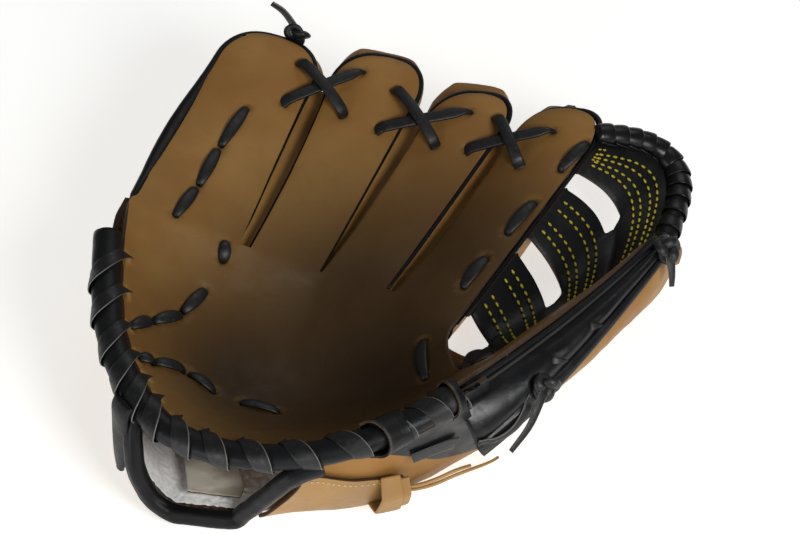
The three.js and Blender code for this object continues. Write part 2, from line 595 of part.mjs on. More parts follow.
// A point at the share v of the back and the turn q, held off its outside.
function offBack(q, v, off) {
  const step = 0.02;
  const across = back(q + step, v).sub(back(q - step, v));
  const along = back(q, v - step).sub(back(q, v + step));
  return back(q, v).addScaledVector(across.cross(along).normalize(), off);
}

// The wrist strap lies along the outside of the hand's back and ends in a folded knot.
const STRAP_OUTSIDE = SEAT + STRAP_THICK;
const STRAP = { from: 0.03, to: 0.45, top: 2.93, topEnd: 2.7, bottom: 2.15, bottomEnd: 2.4 };
const strapSkin = new Skin().patch(steps(5), steps(5).reverse(), (u, v) => {
  const low = STRAP.bottom + (STRAP.bottomEnd - STRAP.bottom) * v;
  const high = STRAP.top + (STRAP.topEnd - STRAP.top) * v;
  return offBack(low + (high - low) * u, STRAP.from + (STRAP.to - STRAP.from) * v, STRAP_OUTSIDE);
});
add("wrist_strap", wall(strapSkin, STRAP_THICK), "tan");

const KNOT_PLACE = { along: 0.4, from: 2.33, to: 2.78 };
const outOfBack = (q, v) => offBack(q, v, 1).sub(back(q, v));
const knotTurns = steps(3, KNOT_PLACE.from, KNOT_PLACE.to);
const knotPath = knotTurns.map((q) => offBack(q, KNOT_PLACE.along, STRAP_OUTSIDE + SEAT));
const knotWidth = (i) => KNOT_WIDTH * [0.7, 1, 1, 0.8][i];
const knotUp = (i) => outOfBack(knotTurns[i], KNOT_PLACE.along);
add("wrist_knot", strap(knotPath, knotUp, KNOT_THICK, knotWidth), "tan");

// Two tails run on from the knot along the side of the hand, each a little further off it.
const TAILS = [
  { from: 0.475, to: 0.76, turn: 2.36, turnEnd: 2.66, rise: 8 },
  { from: 0.475, to: 0.66, turn: 2.48, turnEnd: 2.68, rise: 7 },
];
TAILS.forEach(({ from, to, turn, turnEnd, rise }, i) => {
  const shares = steps(5, from, to);
  const turns = steps(5, turn, turnEnd);
  const path = shares.map((v, k) => offBack(turns[k], v, GAP + rise * (k / 5) ** 0.6));
  const upAt = (k) => outOfBack(turns[k], shares[k]);
  const tail = strap(path, upAt, TAIL_THICK, (k) => TAIL_WIDTH * (1 - 0.12 * k));
  add(`wrist_tail_${i + 1}`, tail, "tan");
});

// The black leather between the heel roll's end and the thumb's pad
const BASE_ROWS = [0.39, 0.45, 0.51, 0.57, 0.63, 0.68, 0.73];
const BASE_HIGH = 2.97; // the turn of its upper edge
const BASE_LOW = [2.9, 2.8, 2.66, 2.52, 2.44, 2.46, 2.6]; // the turn of its lower edge at each row
const baseSkin = new Skin().patch(steps(4), steps(6).reverse(), (u, v) => {
  const row = Math.round(v * 6);
  return offBack(BASE_LOW[row] + (BASE_HIGH - BASE_LOW[row]) * u, BASE_ROWS[row], SEAT + LEATHER);
});
add("thumb_base", wall(baseSkin, LEATHER), "black", 0.4);

// A leather tab hangs from the heel roll beside the wrist opening.
const TAB_PLACE = 0.337; // share of the rim
const TAB_LEAN = 0.9; // how far it leans out for each height of the roll
const tabOut = inward(TAB_PLACE).setZ(0).normalize().negate();
const tabPath = [0.7, 1.7, 2.8, 3.9].map((down) =>
  rimCurve.getPoint(TAB_PLACE)
    .addScaledVector(tabOut, ROLL_WIDTH / 2 + RIDGE + SEAT + TAB_LEAN * down)
    .addScaledVector(UP, -down * ROLL_HEIGHT),
);
add("heel_tab", strap(tabPath, () => tabOut, LEATHER, (i) => TAB_WIDTH * (1 - 0.08 * i)), "black");

// A knot is a rounded body with its middle at the point given.
function knot(name, centre, up, size = LACE_KNOT) {
  const profile = [0.4, 0.85, 1, 0.85, 0.4];
  const path = profile.map((_, i) => centre.clone().addScaledVector(up, ((i - 2) * size) / 6));
  const side = Math.abs(up.z) > 0.9 ? new THREE.Vector3(1, 0, 0) : UP;
  add(name, tube(path, () => side, 8, 0, 0, (i) => (profile[i] * size) / 2), "lace");
}
function tail(name, path, up) {
  add(name, strap(path, () => up, TAIL_THICK, (k) => TAIL_WIDTH * (1 - 0.2 * k)), "lace");
}
// Lace knots with a loose end, on the thumb's pad, at the pad's tip and at the little
// fingertip. An end's points are chosen by hand, as shares of LACE_KNOT from the knot.
const littleTip = (s, t, off = 0) => fingers[0].face(s, t).addScaledVector(fingers[0].along(1), off);
const KNOTS = [
  { name: "thumb", on: padPoint, place: [0.53, 0.3], lift: 0.37,
    end: [[0.04, -0.42, -0.1], [0.1, -1.5, -0.7], [-0.1, -2.7, -1.2]] },
  { name: "thumb_tip", on: padPoint, place: [0.7, 0.97], lift: 0.36,
    end: [[0.3, -0.35, -0.3], [0.5, -0.6, -0.7], [0.62, -0.8, -1.1]] },
  { name: "little_tip", on: littleTip, place: [1, 0.8], lift: 0.37,
    end: [[-0.34, 0.2, 0.2], [-1, 0.4, 0.6], [-1.5, 0.3, 0.9]] },
];
for (const { name, on, place: [u, v], lift, end } of KNOTS) {
  const up = on(u, v, 1).sub(on(u, v)).normalize();
  const centre = on(u, v).addScaledVector(up, LACE_KNOT * lift + GAP);
  knot(`${name}_knot`, centre, up);
  const path = end.map((share) => new THREE.Vector3(...share).multiplyScalar(LACE_KNOT).add(centre));
  tail(`${name}_lace_end`, path, up);
}

// Stitches and the laces between the fingertips
function upOn(surface, u, v) {
  const step = 0.01;
  const along = surface(u + step, v).sub(surface(u - step, v));
  const up = along.cross(surface(u, v + step).sub(surface(u, v - step))).normalize();
  return up.z < 0 ? up.negate() : up;
}
function stitch(name, surface, from, to, off) {
  const shares = steps(4);
  const spots = shares.map((k) => [0, 1].map((i) => from[i] + (to[i] - from[i]) * k));
  const ups = spots.map(([u, v]) => upOn(surface, u, v));
  const path = spots.map(([u, v], k) =>
    surface(u, v).addScaledVector(ups[k], off + STITCH_THICK * 0.4 * Math.sin(Math.PI * shares[k])));
  const widthAt = (k) => LACE_WIDTH * (0.5 + 0.4 * Math.sin(Math.PI * shares[k]));
  add(name, strap(path, (k) => ups[k], STITCH_THICK, widthAt), "lace");
}
PALM_STITCHES.forEach((row, i) => {
  stitch(`palm_stitch_${i + 1}`, palm, [row.fromAcross, row.fromDown], [row.toAcross, row.toDown], SEAT);
});
FINGER_STITCHES.forEach((row, i) => {
  const { name, face } = fingers[row.finger];
  const [from, to] = [[row.fromAlong, row.fromAcross], [row.toAlong, row.toAcross]];
  stitch(`${name}_stitch_${(i % 3) + 1}`, face, from, to, GAP);
});
const LACE_ARC = 1.2; // how far the middle of a lower lace stands off the straight line
TIP_LACES.forEach((row, i) => {
  const [from, to] = [fingers[row.left], fingers[row.left + 1]];
  const start = from.face(row.fromAlong, row.fromAcross).addScaledVector(from.normal(row.fromAlong), SEAT);
  const end = to.face(row.toAlong, row.toAcross).addScaledVector(to.normal(row.toAlong), SEAT);
  const shares = steps(6);
  const ups = shares.map((t) => mix(from.normal(row.fromAlong), to.normal(row.toAlong), t).normalize());
  const rise = LACE_ARC + (row.over ? LACE_THICK + 2 * SEAT : 0);
  const arc = (t) => rise * Math.sin(Math.PI * t) ** 0.7;
  const path = shares.map((t, k) => mix(start, end, t).addScaledVector(ups[k], arc(t)));
  add(`tip_lace_${i + 1}`, strap(path, (k) => ups[k]), "lace");
});

// Bring the model's frame to the middle of its base.
const box = new THREE.Box3().setFromObject(glove);
const middle = box.getCenter(new THREE.Vector3());
glove.position.set(-middle.x, -middle.y, -box.min.z);

export default glove;
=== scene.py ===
"""Builds a fielder's baseball glove in leather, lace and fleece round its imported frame."""

import math

import bmesh
import bpy
from mathutils import Matrix, Vector, kdtree, noise


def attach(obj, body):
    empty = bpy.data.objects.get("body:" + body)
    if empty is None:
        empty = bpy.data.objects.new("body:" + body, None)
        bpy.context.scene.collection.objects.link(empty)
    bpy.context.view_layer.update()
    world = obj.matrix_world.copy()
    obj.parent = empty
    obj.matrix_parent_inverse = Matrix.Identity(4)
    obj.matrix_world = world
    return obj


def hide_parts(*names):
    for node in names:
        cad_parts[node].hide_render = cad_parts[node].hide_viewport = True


bl_info = {
    "name": "Baseball Glove",
    "version": (1, 0, 0),
    "blender": (4, 5, 0),
    "location": "View3D > Sidebar > Glove",
    "description": "Builds a fielder's baseball glove in leather, lace and fleece round its packed frame",
    "category": "Add Mesh",
}

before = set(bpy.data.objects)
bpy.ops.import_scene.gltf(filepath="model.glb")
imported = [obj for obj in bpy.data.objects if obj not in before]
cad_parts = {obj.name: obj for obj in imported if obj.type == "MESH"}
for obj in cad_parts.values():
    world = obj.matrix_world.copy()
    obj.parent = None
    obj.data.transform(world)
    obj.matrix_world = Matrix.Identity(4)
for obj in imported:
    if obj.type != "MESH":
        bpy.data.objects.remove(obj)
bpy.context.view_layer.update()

# Sizes in millimetres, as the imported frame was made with. The glove is drawn with its heel
# towards -Y, and TO_FRAME takes it to the frame's place and to metres.
MM = 0.001
LENGTH, SPAN, RISE = 300, 280, 90
LEATHER, GAP, SEAT = 2.6, 0.4, 0.9
FINGER_DEPTH, FINGER_TIP_DEPTH = 28, 15
THUMB_DEPTH, THUMB_TIP_DEPTH = 33, 9
CROWN, CURL, WAIST = 3.5, 9, 0.06
STALL_BULGE, CROTCH_BOW = 2.5, 5
POCKET = 22
WELT = 3
WEB_LEATHER, WEB_SAG = 3.2, 13
WEB_BOW = Vector((9, 52, -4))
ROLL_WIDTH, ROLL_HEIGHT = 15, 12
RIM_SIZE, RIDGE = 12, 1.1
BINDING, LINING, LABEL_THICK = 10, 2.5, 0.8
STRAP_THICK = 2.4
LACE_KNOT, TAIL_WIDTH, TAIL_THICK = 13, 5, 1.6
TAB_WIDTH = 12
SHIFT = Vector((7.2116, 15.8087, 0))
TO_FRAME = Matrix.Scale(MM, 4) @ Matrix.Translation(SHIFT)
UP = Vector((0, 0, 1))
MERGE = 0.02


def place(across, along, up):
    return Vector((across * SPAN, along * LENGTH, up * RISE))


ROOTS = [
    place(-0.48, -0.2, 0.955),
    place(-0.277, -0.124, 0.667),
    place(-0.139, -0.061, 0.467),
    place(0.005, -0.027, 0.422),
    place(0.152, -0.059, 0.467),
]
RIM = [
    place(-0.466, -0.29, 0.94),
    place(-0.397, -0.393, 0.89),
    place(-0.326, -0.474, 0.83),
    place(-0.247, -0.533, 0.76),
    place(-0.153, -0.57, 0.69),
    place(-0.06, -0.566, 0.65),
    place(0.04, -0.537, 0.65),
    place(0.136, -0.49, 0.7),
    place(0.218, -0.423, 0.77),
    place(0.278, -0.348, 0.83),
    place(0.309, -0.3, 0.87),
]
WEB_CORNER = place(0.239, -0.191, 0.61)
PALM_CENTRE = place(-0.05, -0.2, 0.55)


def smooth(t):
    return t * t * (3 - 2 * t)


def clamp(t):
    return min(1.0, max(0.0, t))


def share_of(t, low, high):
    """How far t has gone from low to high, as a share that starts and ends softly."""
    return smooth(clamp((t - low) / (high - low)))


def curve(points, t):
    """A point of the centripetal curve through the points, at the share t of their number."""
    last = len(points) - 1
    k = min(int(clamp(t) * last), last - 1)
    w = clamp(t) * last - k
    p1, p2 = points[k], points[k + 1]
    p0 = points[k - 1] if k > 0 else p1 * 2 - p2
    p3 = points[k + 2] if k + 2 <= last else p2 * 2 - p1
    d0, d1, d2 = (max((b - a).length, 1e-4) ** 0.5 for a, b in ((p0, p1), (p1, p2), (p2, p3)))
    m1 = ((p1 - p0) / d0 - (p2 - p0) / (d0 + d1) + (p2 - p1) / d1) * d1
    m2 = ((p2 - p1) / d1 - (p3 - p1) / (d1 + d2) + (p3 - p2) / d2) * d1
    a = p1 * 2 - p2 * 2 + m1 + m2
    b = p2 * 3 - p1 * 3 - m1 * 2 - m2
    return ((a * w + b) * w + m1) * w + p1


def rim(t):
    return curve(RIM, t) if 0 <= t <= 1 else curve(RIM, clamp(t)) + rim_way(clamp(t)) * (t - clamp(t)) * 430


def rim_way(t):
    step = 0.001
    return (curve(RIM, t + step) - curve(RIM, t - step)).normalized()


def inward(t):
    """The way from the rim to the palm, square to the rim."""
    tangent = rim_way(clamp(t))
    way = PALM_CENTRE - rim(t)
    return (way - tangent * way.dot(tangent)).normalized()


def palm_edge(t):
    return rim(t) + inward(t) * (ROLL_WIDTH / 2 + RIDGE + SEAT)


def root_line(t):
    k = min(3, int(t * 4 + MERGE))
    return ROOTS[k].lerp(ROOTS[k + 1], t * 4 - k)


def palm_right(r):
    if r < 0.5:
        return ROOTS[4].lerp(WEB_CORNER, r * 2) - Vector((CROTCH_BOW * math.sin(math.pi * r * 2), 0, 0))
    return WEB_CORNER.lerp(palm_edge(1), r * 2 - 1)


def palm(t, r):
    """The palm: t runs from the little finger's side to the thumb's, r from roots to rim."""
    low = palm_edge(0)
    ruled = root_line(t).lerp(palm_edge(t), r) + ROOTS[0].lerp(low, r).lerp(palm_right(r), t)
    corners = ROOTS[0].lerp(ROOTS[4], t).lerp(low.lerp(palm_edge(1), t), r)
    sag = POCKET * (max(math.sin(math.pi * r), 0) * max(math.sin(math.pi * t), 0)) ** 0.8
    return ruled - corners - UP * sag


TIP_START = 0.84
ROUND = 0.38  # how blunt a fingertip is


class Stall:
    """A finger or the thumb: the face that is part of the palm, and the trough behind it."""

    def __init__(self, name, tip, half, deeper, roots, curl, depths, shape):
        self.name, self.tip, self.tip_half, self.deeper = name, place(*tip), place(*half), deeper
        self.kind = name if name == "thumb" else f"{name}_finger"
        self.depths, self.shape = depths, shape
        self.root = roots[0].lerp(roots[1], 0.5)
        self.root_half = (roots[1] - roots[0]) / 2
        self.bend = self.root.lerp(self.tip, 0.5) - curl

    def centre(self, s):
        return self.root * (1 - s) ** 2 + self.bend * 2 * s * (1 - s) + self.tip * s * s

    def along(self, s):
        s = clamp(s)
        return ((self.bend - self.root) * (1 - s) + (self.tip - self.bend) * s).normalized()

    def across(self, s):
        return self.root_half.lerp(self.tip_half, s).normalized()

    def tip_share(self, s):
        past = clamp((s - TIP_START) / (1 - TIP_START))
        return max(1 - past * past, 0) ** ROUND

    def width(self, s):
        """Half the face's width."""
        full = self.root_half.lerp(self.tip_half, s).length
        return full * self.tip_share(s) * (1 - WAIST * math.sin(math.pi * clamp(s)))

    def normal(self, s):
        return self.across(s).cross(self.along(s)).normalized()

    def face(self, s, t):
        crown = CROWN * smooth(clamp(2.5 * s)) * self.tip_share(s) * (1 - t * t)
        return self.centre(s) + self.across(s) * (t * self.width(s)) + self.normal(s) * crown

    def edge(self, s, side, deep, out=0.0):
        """A point at the face's left (-1) or right (1) edge, some way behind the face."""
        return self.centre(s) + self.across(s) * side * (self.width(s) + out) - self.normal(s) * deep

    def trough(self, s, turn, out=0.0):
        left_fill, right_fill, tip_out, tip_left, tuck = self.shape
        deep = max(math.sin(turn), 0)
        width = max(self.width(s) - 1.2 + STALL_BULGE * s * deep + out, 0)
        past = clamp((s - TIP_START) / (1 - TIP_START))
        first, last = self.depths
        deeper = 1 + (self.deeper - 1) * (1 - s)
        depth = (first * (1 - s) + last * s) * deeper * math.sqrt(1 - 0.8 * past**2)
        side = math.copysign(abs(math.cos(turn)) ** 0.75, math.cos(turn))
        seam = LEATHER + GAP + WELT + GAP
        fill = SPAN * math.sin(math.pi / 2 * clamp(s / 0.8)) * abs(math.sin(2 * turn)) ** 0.5
        fill *= right_fill if side > 0 else -left_fill
        shift = SPAN * tip_left * share_of(s, 0.6, 1) * deep**0.5
        if side > 0:
            shift += tuck * (1 - share_of(s, 0.1, 0.45)) * deep**0.5
        return (
            self.centre(s)
            + self.along(s) * LENGTH * tip_out * share_of(s, 0.5, 1) * deep**0.6
            - self.normal(s) * (seam + depth * deep**0.75 + out * deep)
            + self.across(s) * (side * width + fill - shift)
        )


def root_span(k, left_gap, right_gap):
    """The shares of the root line where finger k's face begins and ends."""
    return (k + left_gap) / 4, (k + 1 - right_gap) / 4


# For each finger: its tip and half of the face's width there, its depth as a share of
# FINGER_DEPTH, and the shares of the root line that its face leaves free at each side. The
# last row says how its back stands out: into the gap at the left and the right, at the tip,
# how far the tip leans to the left, and how many mm the right side is tucked in at the root.
FINGER_ROWS = [
    ("little", (-0.473, 0.302, 1.01), (0.094, 0.028, -0.056), 1.3, (0, 0.03), (0.018, 0.034, 0.017, 0, 0)),
    ("ring", (-0.268, 0.389, 0.9), (0.086, 0.032, -0.039), 1.25, (0.1, 0.03), (0, 0.037, 0.045, 0.036, 0)),
    ("middle", (-0.063, 0.414, 0.81), (0.075, 0.03, -0.011), 1, (0, 0.14), (0, 0.036, 0.055, 0.056, 0)),
    ("index", (0.118, 0.457, 0.82), (0.083, 0.015, 0.039), 1, (0, 0), (0, -0.006, 0.045, 0.046, 9)),
]
ROOT_SPANS = [root_span(k, *row[4]) for k, row in enumerate(FINGER_ROWS)]
FINGERS = [
    Stall(name, tip, half, deeper, [root_line(t) for t in ROOT_SPANS[k]], UP * CURL,
          (FINGER_DEPTH, FINGER_TIP_DEPTH), shape)
    for k, (name, tip, half, deeper, gaps, shape) in enumerate(FINGER_ROWS)
]
LITTLE, RING, MIDDLE, INDEX = FINGERS
THUMB = Stall(
    "thumb", (0.43, 0.235, 0.72), (0.014, -0.012, 0.25), 1, (WEB_CORNER, palm_edge(1)),
    Vector((-CURL, 0, 0)), (THUMB_DEPTH, THUMB_TIP_DEPTH), (0, 0, 0.017, 0, 0),
)

CROTCH = 0.24
WEB_CLEAR = WELT + SEAT
WEB_TOP = 0.95
LIFT_FROM, LIFT_TOP = 0.05, 0.25  # the web's rows rise in the middle between these shares
WEB_WINDOWS = [(LIFT_FROM, LIFT_TOP, 0.46), (0.48, 0.547, 0.58), (0.73, 0.79, 0.46)]


def web_left(h):
    if h < CROTCH:
        out = (ROOTS[4] - WEB_CORNER).cross(UP).normalized()
        return WEB_CORNER.lerp(ROOTS[4], h / CROTCH) + out * WEB_CLEAR - UP * (LEATHER + SEAT)
    return INDEX.edge((h - CROTCH) / (1 - CROTCH) * 0.93, 1, 0, WEB_CLEAR) - UP * LEATHER


def web_share(w, h):
    """The bars slant towards the thumb, and the lowest one rises in the middle."""
    whole = share_of(WEB_TOP - h, 0, 0.15) * share_of(h, 0, LIFT_TOP)
    rise = 0.75 * math.sin(math.pi * clamp(w / 0.93)) * share_of(h, 0, LIFT_FROM)
    return h + 0.065 * (1 - 2 * w) * whole + rise * clamp(LIFT_TOP - h)


def web(w, h):
    """The web: w runs from the index finger to the thumb, h from the crotch to its rim."""
    bow = math.sin(math.pi * w)
    share = web_share(w, h)
    right = THUMB.edge(0.06 + 0.88 * share, -1, 0, WEB_CLEAR)
    sag = UP * (WEB_SAG * bow * math.sin(math.pi * share))
    return web_left(share).lerp(right, w) + WEB_BOW * (bow * share * share) - sag


def web_rim(w):
    edge = web(w, WEB_TOP)
    along = (web(w + 0.01, WEB_TOP) - web(w - 0.01, WEB_TOP)).normalized()
    out = edge - web(w, WEB_TOP - 0.02)
    out = (out - along * out.dot(along)).normalized()
    return edge + out * (RIM_SIZE / 2 + RIDGE + GAP)


PAD_ROOT, PAD_TIP = 0.0, 0.92  # shares of the thumb's length
PAD_FOLD = 0.64  # share of the pad's height that is padded; the rest is a flat strip


def pad(u, v, raised=0.0):
    """The pad on the thumb's back: u runs down from its crest, v from the root to the tip."""
    s = PAD_ROOT + (PAD_TIP - PAD_ROOT) * v
    top, bottom = 0.015 * math.pi, (0.37 - 0.24 * v) * math.pi
    swell = math.sin(math.pi * clamp(u / PAD_FOLD)) ** 0.6 if 0 < u < PAD_FOLD else 0
    swell = 4.6 * swell * max(math.sin(math.pi * v), 0) ** 0.4
    flat = 0.9 * share_of(u, PAD_FOLD, PAD_FOLD + 0.08) * (1 - share_of(u, 0.92, 1))
    tucked = 1 - share_of(u, 0, 0.08)  # the upper edge lies against the piping
    off = (SEAT + LEATHER) * (1 - 0.6 * tucked) + swell + flat + raised
    return THUMB.trough(s, top + (bottom - top) * u, off) + THUMB.normal(s) * 1.8 * tucked


def hang(t, out, down):
    """A point under the heel's rim, moved out and down by shares of the roll."""
    way = inward(t)
    way.z = 0
    return rim(t) - way.normalized() * out * ROLL_WIDTH - UP * (down * ROLL_HEIGHT + RIDGE + GAP)


BACK_LINES = [
    [hang(0.36, 0.75, 1.3), hang(0.25, 0, 0.64), hang(0.16, 0, 0.64), hang(0.06, 0, 0.64),
     place(-0.508, -0.215, 0.8), place(-0.54, -0.14, 0.72)],
    [place(-0.12, -0.585, 0.075), place(-0.17, -0.5, 0.035), place(-0.2, -0.4, 0), place(-0.21, -0.27, 0),
     place(-0.19, -0.13, 0), place(-0.14, -0.02, 0)],
    [place(0, -0.54, 0.075), place(0.07, -0.455, 0.035), place(0.16, -0.36, 0), place(0.235, -0.245, 0),
     place(0.22, -0.13, 0), place(0.1, 0, 0)],
    [hang(0.66, 0.3, 0.8), hang(0.72, 0, 0.64), hang(0.82, 0, 0.64), hang(0.94, 0.1, 1),
     place(0.322, -0.17, 0.2), place(0.21, -0.02, 0.22)],
]


def back(q, v):
    """The back of the hand: q runs down the left wall (0 to 1), the floor and up the right."""
    left, left_floor, right_floor, right = (curve(line, v) for line in BACK_LINES)
    left_floor.z, right_floor.z = max(left_floor.z, 0), max(right_floor.z, 0)
    if 1 <= q <= 2:
        return left_floor.lerp(right_floor, q - 1)
    top, floor, turn = (left, left_floor, q) if q < 1 else (right, right_floor, 3 - q)
    angle = turn * math.pi / 2
    full = 1 - 0.35 * v if q < 1 else 1 + 0.8 * (1 - share_of(v, 0, 0.3))
    made = floor.lerp(top, max(math.cos(angle), 0) ** full)
    made.z = floor.z + (top.z - floor.z) * (1 - max(math.sin(angle), 0) ** full)
    return made


def back_out(q, v):
    step = 0.02
    across = back(q + step, v) - back(q - step, v)
    return across.cross(back(q, clamp(v - step)) - back(q, clamp(v + step))).normalized()


def off_back(q, v, off):
    return back(q, v) + back_out(q, v) * off


# Making meshes
def skin(bm, columns, rows, at):
    """A grid whose corners are moved to at(u, v), with u and v from 0 to 1."""
    made = bmesh.ops.create_grid(bm, x_segments=columns, y_segments=rows, size=1)["verts"]
    for vert in made:
        vert.co = at((vert.co.x + 1) / 2, (vert.co.y + 1) / 2)
    return made


def framed(path, up_at):
    """For each point of a path: the point, its side and its up."""
    made = []
    for i, p in enumerate(path):
        along = (path[min(i + 1, len(path) - 1)] - path[max(i - 1, 0)]).normalized()
        side = along.cross(up_at(i)).normalized()
        made.append((p, side, side.cross(along).normalized()))
    return made


def tube(bm, path, up_at, size_at, sides=12):
    """A closed tube along a path. size_at(i) gives half its width and half its height."""
    spots = framed(path, up_at)
    last = len(path) - 1

    def at(u, v):
        i = round(v * last)
        turn = -2 * math.pi * u
        p, side, up = spots[i]
        wide, high = size_at(i)
        return p + side * math.cos(turn) * wide + up * math.sin(turn) * high

    made = skin(bm, sides, last, at)
    close(bm, made)


def close(bm, verts):
    """Merges the seam of a rolled-up grid and closes its two open ends."""
    before = {v for v in bm.verts} - set(verts)
    bmesh.ops.remove_doubles(bm, verts=verts, dist=MERGE / 4)
    rest = [v for v in bm.verts if v not in before]
    edges = {e for v in rest for e in v.link_edges if e.is_boundary}
    bmesh.ops.holes_fill(bm, edges=list(edges), sides=0)


def strap(bm, path, up_at, width_at, thick=1.8, belly=0.0, edges=(1.0, 1.0), lean=0.0):
    """A flat strap with rounded edges that lies on a path. Its two edges get the given amounts of a
    painted highlight, and it leans so that one edge stands up and the other sinks in."""
    raw = bm.verts.layers.float.get("raw") or bm.verts.layers.float.new("raw")
    spots = framed(path, up_at)
    last = len(path) - 1
    sides = 14

    def at(u, v):
        i = round(v * last)
        turn = -2 * math.pi * (u + 0.5 / sides)
        p, side, up = spots[i]
        c, s = math.cos(turn), math.sin(turn)
        across = math.copysign(abs(c) ** 0.55, c) * width_at(i) / 2
        high = thick / 2 * (1 + math.copysign(abs(s) ** 0.6, s))
        high += belly * (1 - (2 * across / width_at(i)) ** 2)
        high += lean * across / width_at(i)
        return p + side * across + up * high

    made = skin(bm, sides, last, at)
    for k, vert in enumerate(made):
        i = min(k // (sides + 1), last)
        p, side, up = spots[i]
        across = (vert.co - p).dot(side) / (width_at(i) / 2)
        # Painted highlight along the strap's edges.
        vert[raw] = share_of(abs(across), 0.8, 0.98) * edges[0 if across < 0 else 1]
    close(bm, made)


def along_curve(points, count):
    return [curve(points, i / count) for i in range(count + 1)]


def even(count, first=0.0, last=1.0):
    """Evenly spaced values from the first to the last."""
    return [first + (last - first) * i / count for i in range(count + 1)]


def find_near(points):
    """A tree that finds the nearest of the points."""
    tree = kdtree.KDTree(len(points))
    for k, p in enumerate(points):
        tree.insert(p, k)
    tree.balance()
    return tree


def dashes(bm, path, up_at, length, pitch, thick):
    """A row of sewn stitches: a short rounded thread for each pitch along a path."""
    gone, due = 0.0, pitch / 2
    for i in range(len(path) - 1):
        a, b = path[i], path[i + 1]
        span = (b - a).length
        while due <= gone + span and span > 0:
            along = (b - a).normalized()
            side = along.cross(up_at(i)).normalized()
            up = side.cross(along)
            turned = Matrix((along, side, up)).transposed().to_4x4()
            spot = Matrix.Translation(a.lerp(b, (due - gone) / span) + up * thick * 0.25)
            sized = Matrix.Diagonal((length / 2, thick / 2, thick / 2, 1))
            bmesh.ops.create_uvsphere(bm, u_segments=6, v_segments=4, radius=1, matrix=spot @ turned @ sized)
            due += pitch
        gone += span


def wrinkle(bm, amount, scale, seed=0.0):
    """Moves a surface in and out a little, as worn leather does."""
    bm.normal_update()
    for vert in bm.verts:
        vert.co += vert.normal * amount * noise.fractal(vert.co / scale + Vector((seed, 0, 0)), 1.0, 2.0, 3)


def piece(name, bm, material, replaced=(), wall=0.0, inner=None, round_edge=0.6):
    """Puts a finished mesh into the scene, riding on the frame in place of its CAD nodes."""
    bmesh.ops.transform(bm, matrix=TO_FRAME, verts=bm.verts)
    mesh = bpy.data.meshes.new(name)
    bm.to_mesh(mesh)
    bm.free()
    mesh.shade_smooth()
    mesh.materials.append(finish(material))
    made = bpy.data.objects.new(name, mesh)
    bpy.context.scene.collection.objects.link(made)
    if wall:
        mesh.materials.append(finish(inner or material))
        mesh.materials.append(finish("leather_cut_edge"))
        solid = made.modifiers.new("wall", "SOLIDIFY")
        solid.thickness, solid.offset = wall * MM, -1
        solid.material_offset, solid.material_offset_rim = 1, 2
        if round_edge:
            soft = made.modifiers.new("worn edge", "BEVEL")
            soft.width, soft.segments, soft.limit_method = round_edge * MM, 2, "ANGLE"
            soft.angle_limit = math.radians(50)
    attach(made, "root")
    if replaced:
        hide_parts(*replaced)
    return made


def paint(bm, name, amount):
    """Gives every point of a mesh the same amount of an attribute."""
    layer = bm.verts.layers.float.new(name)
    for vert in bm.verts:
        vert[layer] = amount


def shell(name, bm, replaced):
    """A wall of the glove's tan shell, whose rough flesh side is inside."""
    piece(name, bm, "tan_cowhide", replaced, LEATHER, "leather_flesh_side")


def lay(bm, surface, spots, lift_at, width_at, *form):
    """A strap laid over a surface, from spot to spot, at some height at each of them."""
    path = [surface(*spot, lift_at(i)) for i, spot in enumerate(spots)]
    ups = [(surface(*spot, 1) - surface(*spot, 0)).normalized() for spot in spots]
    strap(bm, path, lambda i: ups[i], width_at, *form)


# Materials
def linear(colour):
    """An sRGB hex colour as linear RGBA."""
    parts = [int(colour[i : i + 2], 16) / 255 for i in (1, 3, 5)]
    return (*(c / 12.92 if c <= 0.04045 else ((c + 0.055) / 1.055) ** 2.4 for c in parts), 1.0)


def add_node(tree, kind, inputs=None, **settings):
    """Adds a node to a tree, with its settings, and its inputs as values or links."""
    made = tree.nodes.new(kind)
    for key, value in settings.items():
        setattr(made, key, value)
    for key, value in (inputs or {}).items():
        if isinstance(value, bpy.types.NodeSocket):
            tree.links.new(value, made.inputs[key])
        else:
            made.inputs[key].default_value = value
    return made


def start_material(name):
    made = bpy.data.materials.new(name)
    made.use_nodes = True
    made.node_tree.nodes.clear()
    return made, made.node_tree


def end_material(tree, colour, rough, bump=None, **fixed):
    shader = add_node(tree, "ShaderNodeBsdfPrincipled", {"Base Color": colour, "Roughness": rough})
    for key, value in fixed.items():
        shader.inputs[key.replace("_", " ")].default_value = value
    if bump is not None:
        tree.links.new(bump, shader.inputs["Normal"])
    add_node(tree, "ShaderNodeOutputMaterial", {"Surface": shader.outputs[0]})


def mixed(tree, factor, a, b):
    """One colour laid over another."""
    made = add_node(tree, "ShaderNodeMix", {0: factor, 6: a, 7: b}, data_type="RGBA")
    return made.outputs[2]


def ranged(tree, value, low, high, out_low=0.0, out_high=1.0):
    keys = {"Value": value, "From Min": low, "From Max": high, "To Min": out_low, "To Max": out_high}
    return add_node(tree, "ShaderNodeMapRange", keys, interpolation_type="SMOOTHSTEP").outputs[0]


def start_pattern(name):
    """Starts a material whose pattern lies on Object coordinates."""
    made, tree = start_material(name)
    return made, tree, add_node(tree, "ShaderNodeTexCoord").outputs["Object"]


def noisy(tree, where, scale, detail):
    keys = {"Vector": where, "Scale": scale, "Detail": detail}
    return add_node(tree, "ShaderNodeTexNoise", keys).outputs[0]


def fact(tree, name):
    """A piece's attribute, such as how much painted highlight it has at each point."""
    return add_node(tree, "ShaderNodeAttribute", attribute_name=name).outputs["Fac"]


def bumped(tree, strength, deep_mm, height, under=None):
    """A bump of a height pattern, laid over another bump if one is given."""
    keys = {"Strength": strength, "Distance": deep_mm * MM, "Height": height}
    if under is not None:
        keys["Normal"] = under
    return add_node(tree, "ShaderNodeBump", keys).outputs[0]


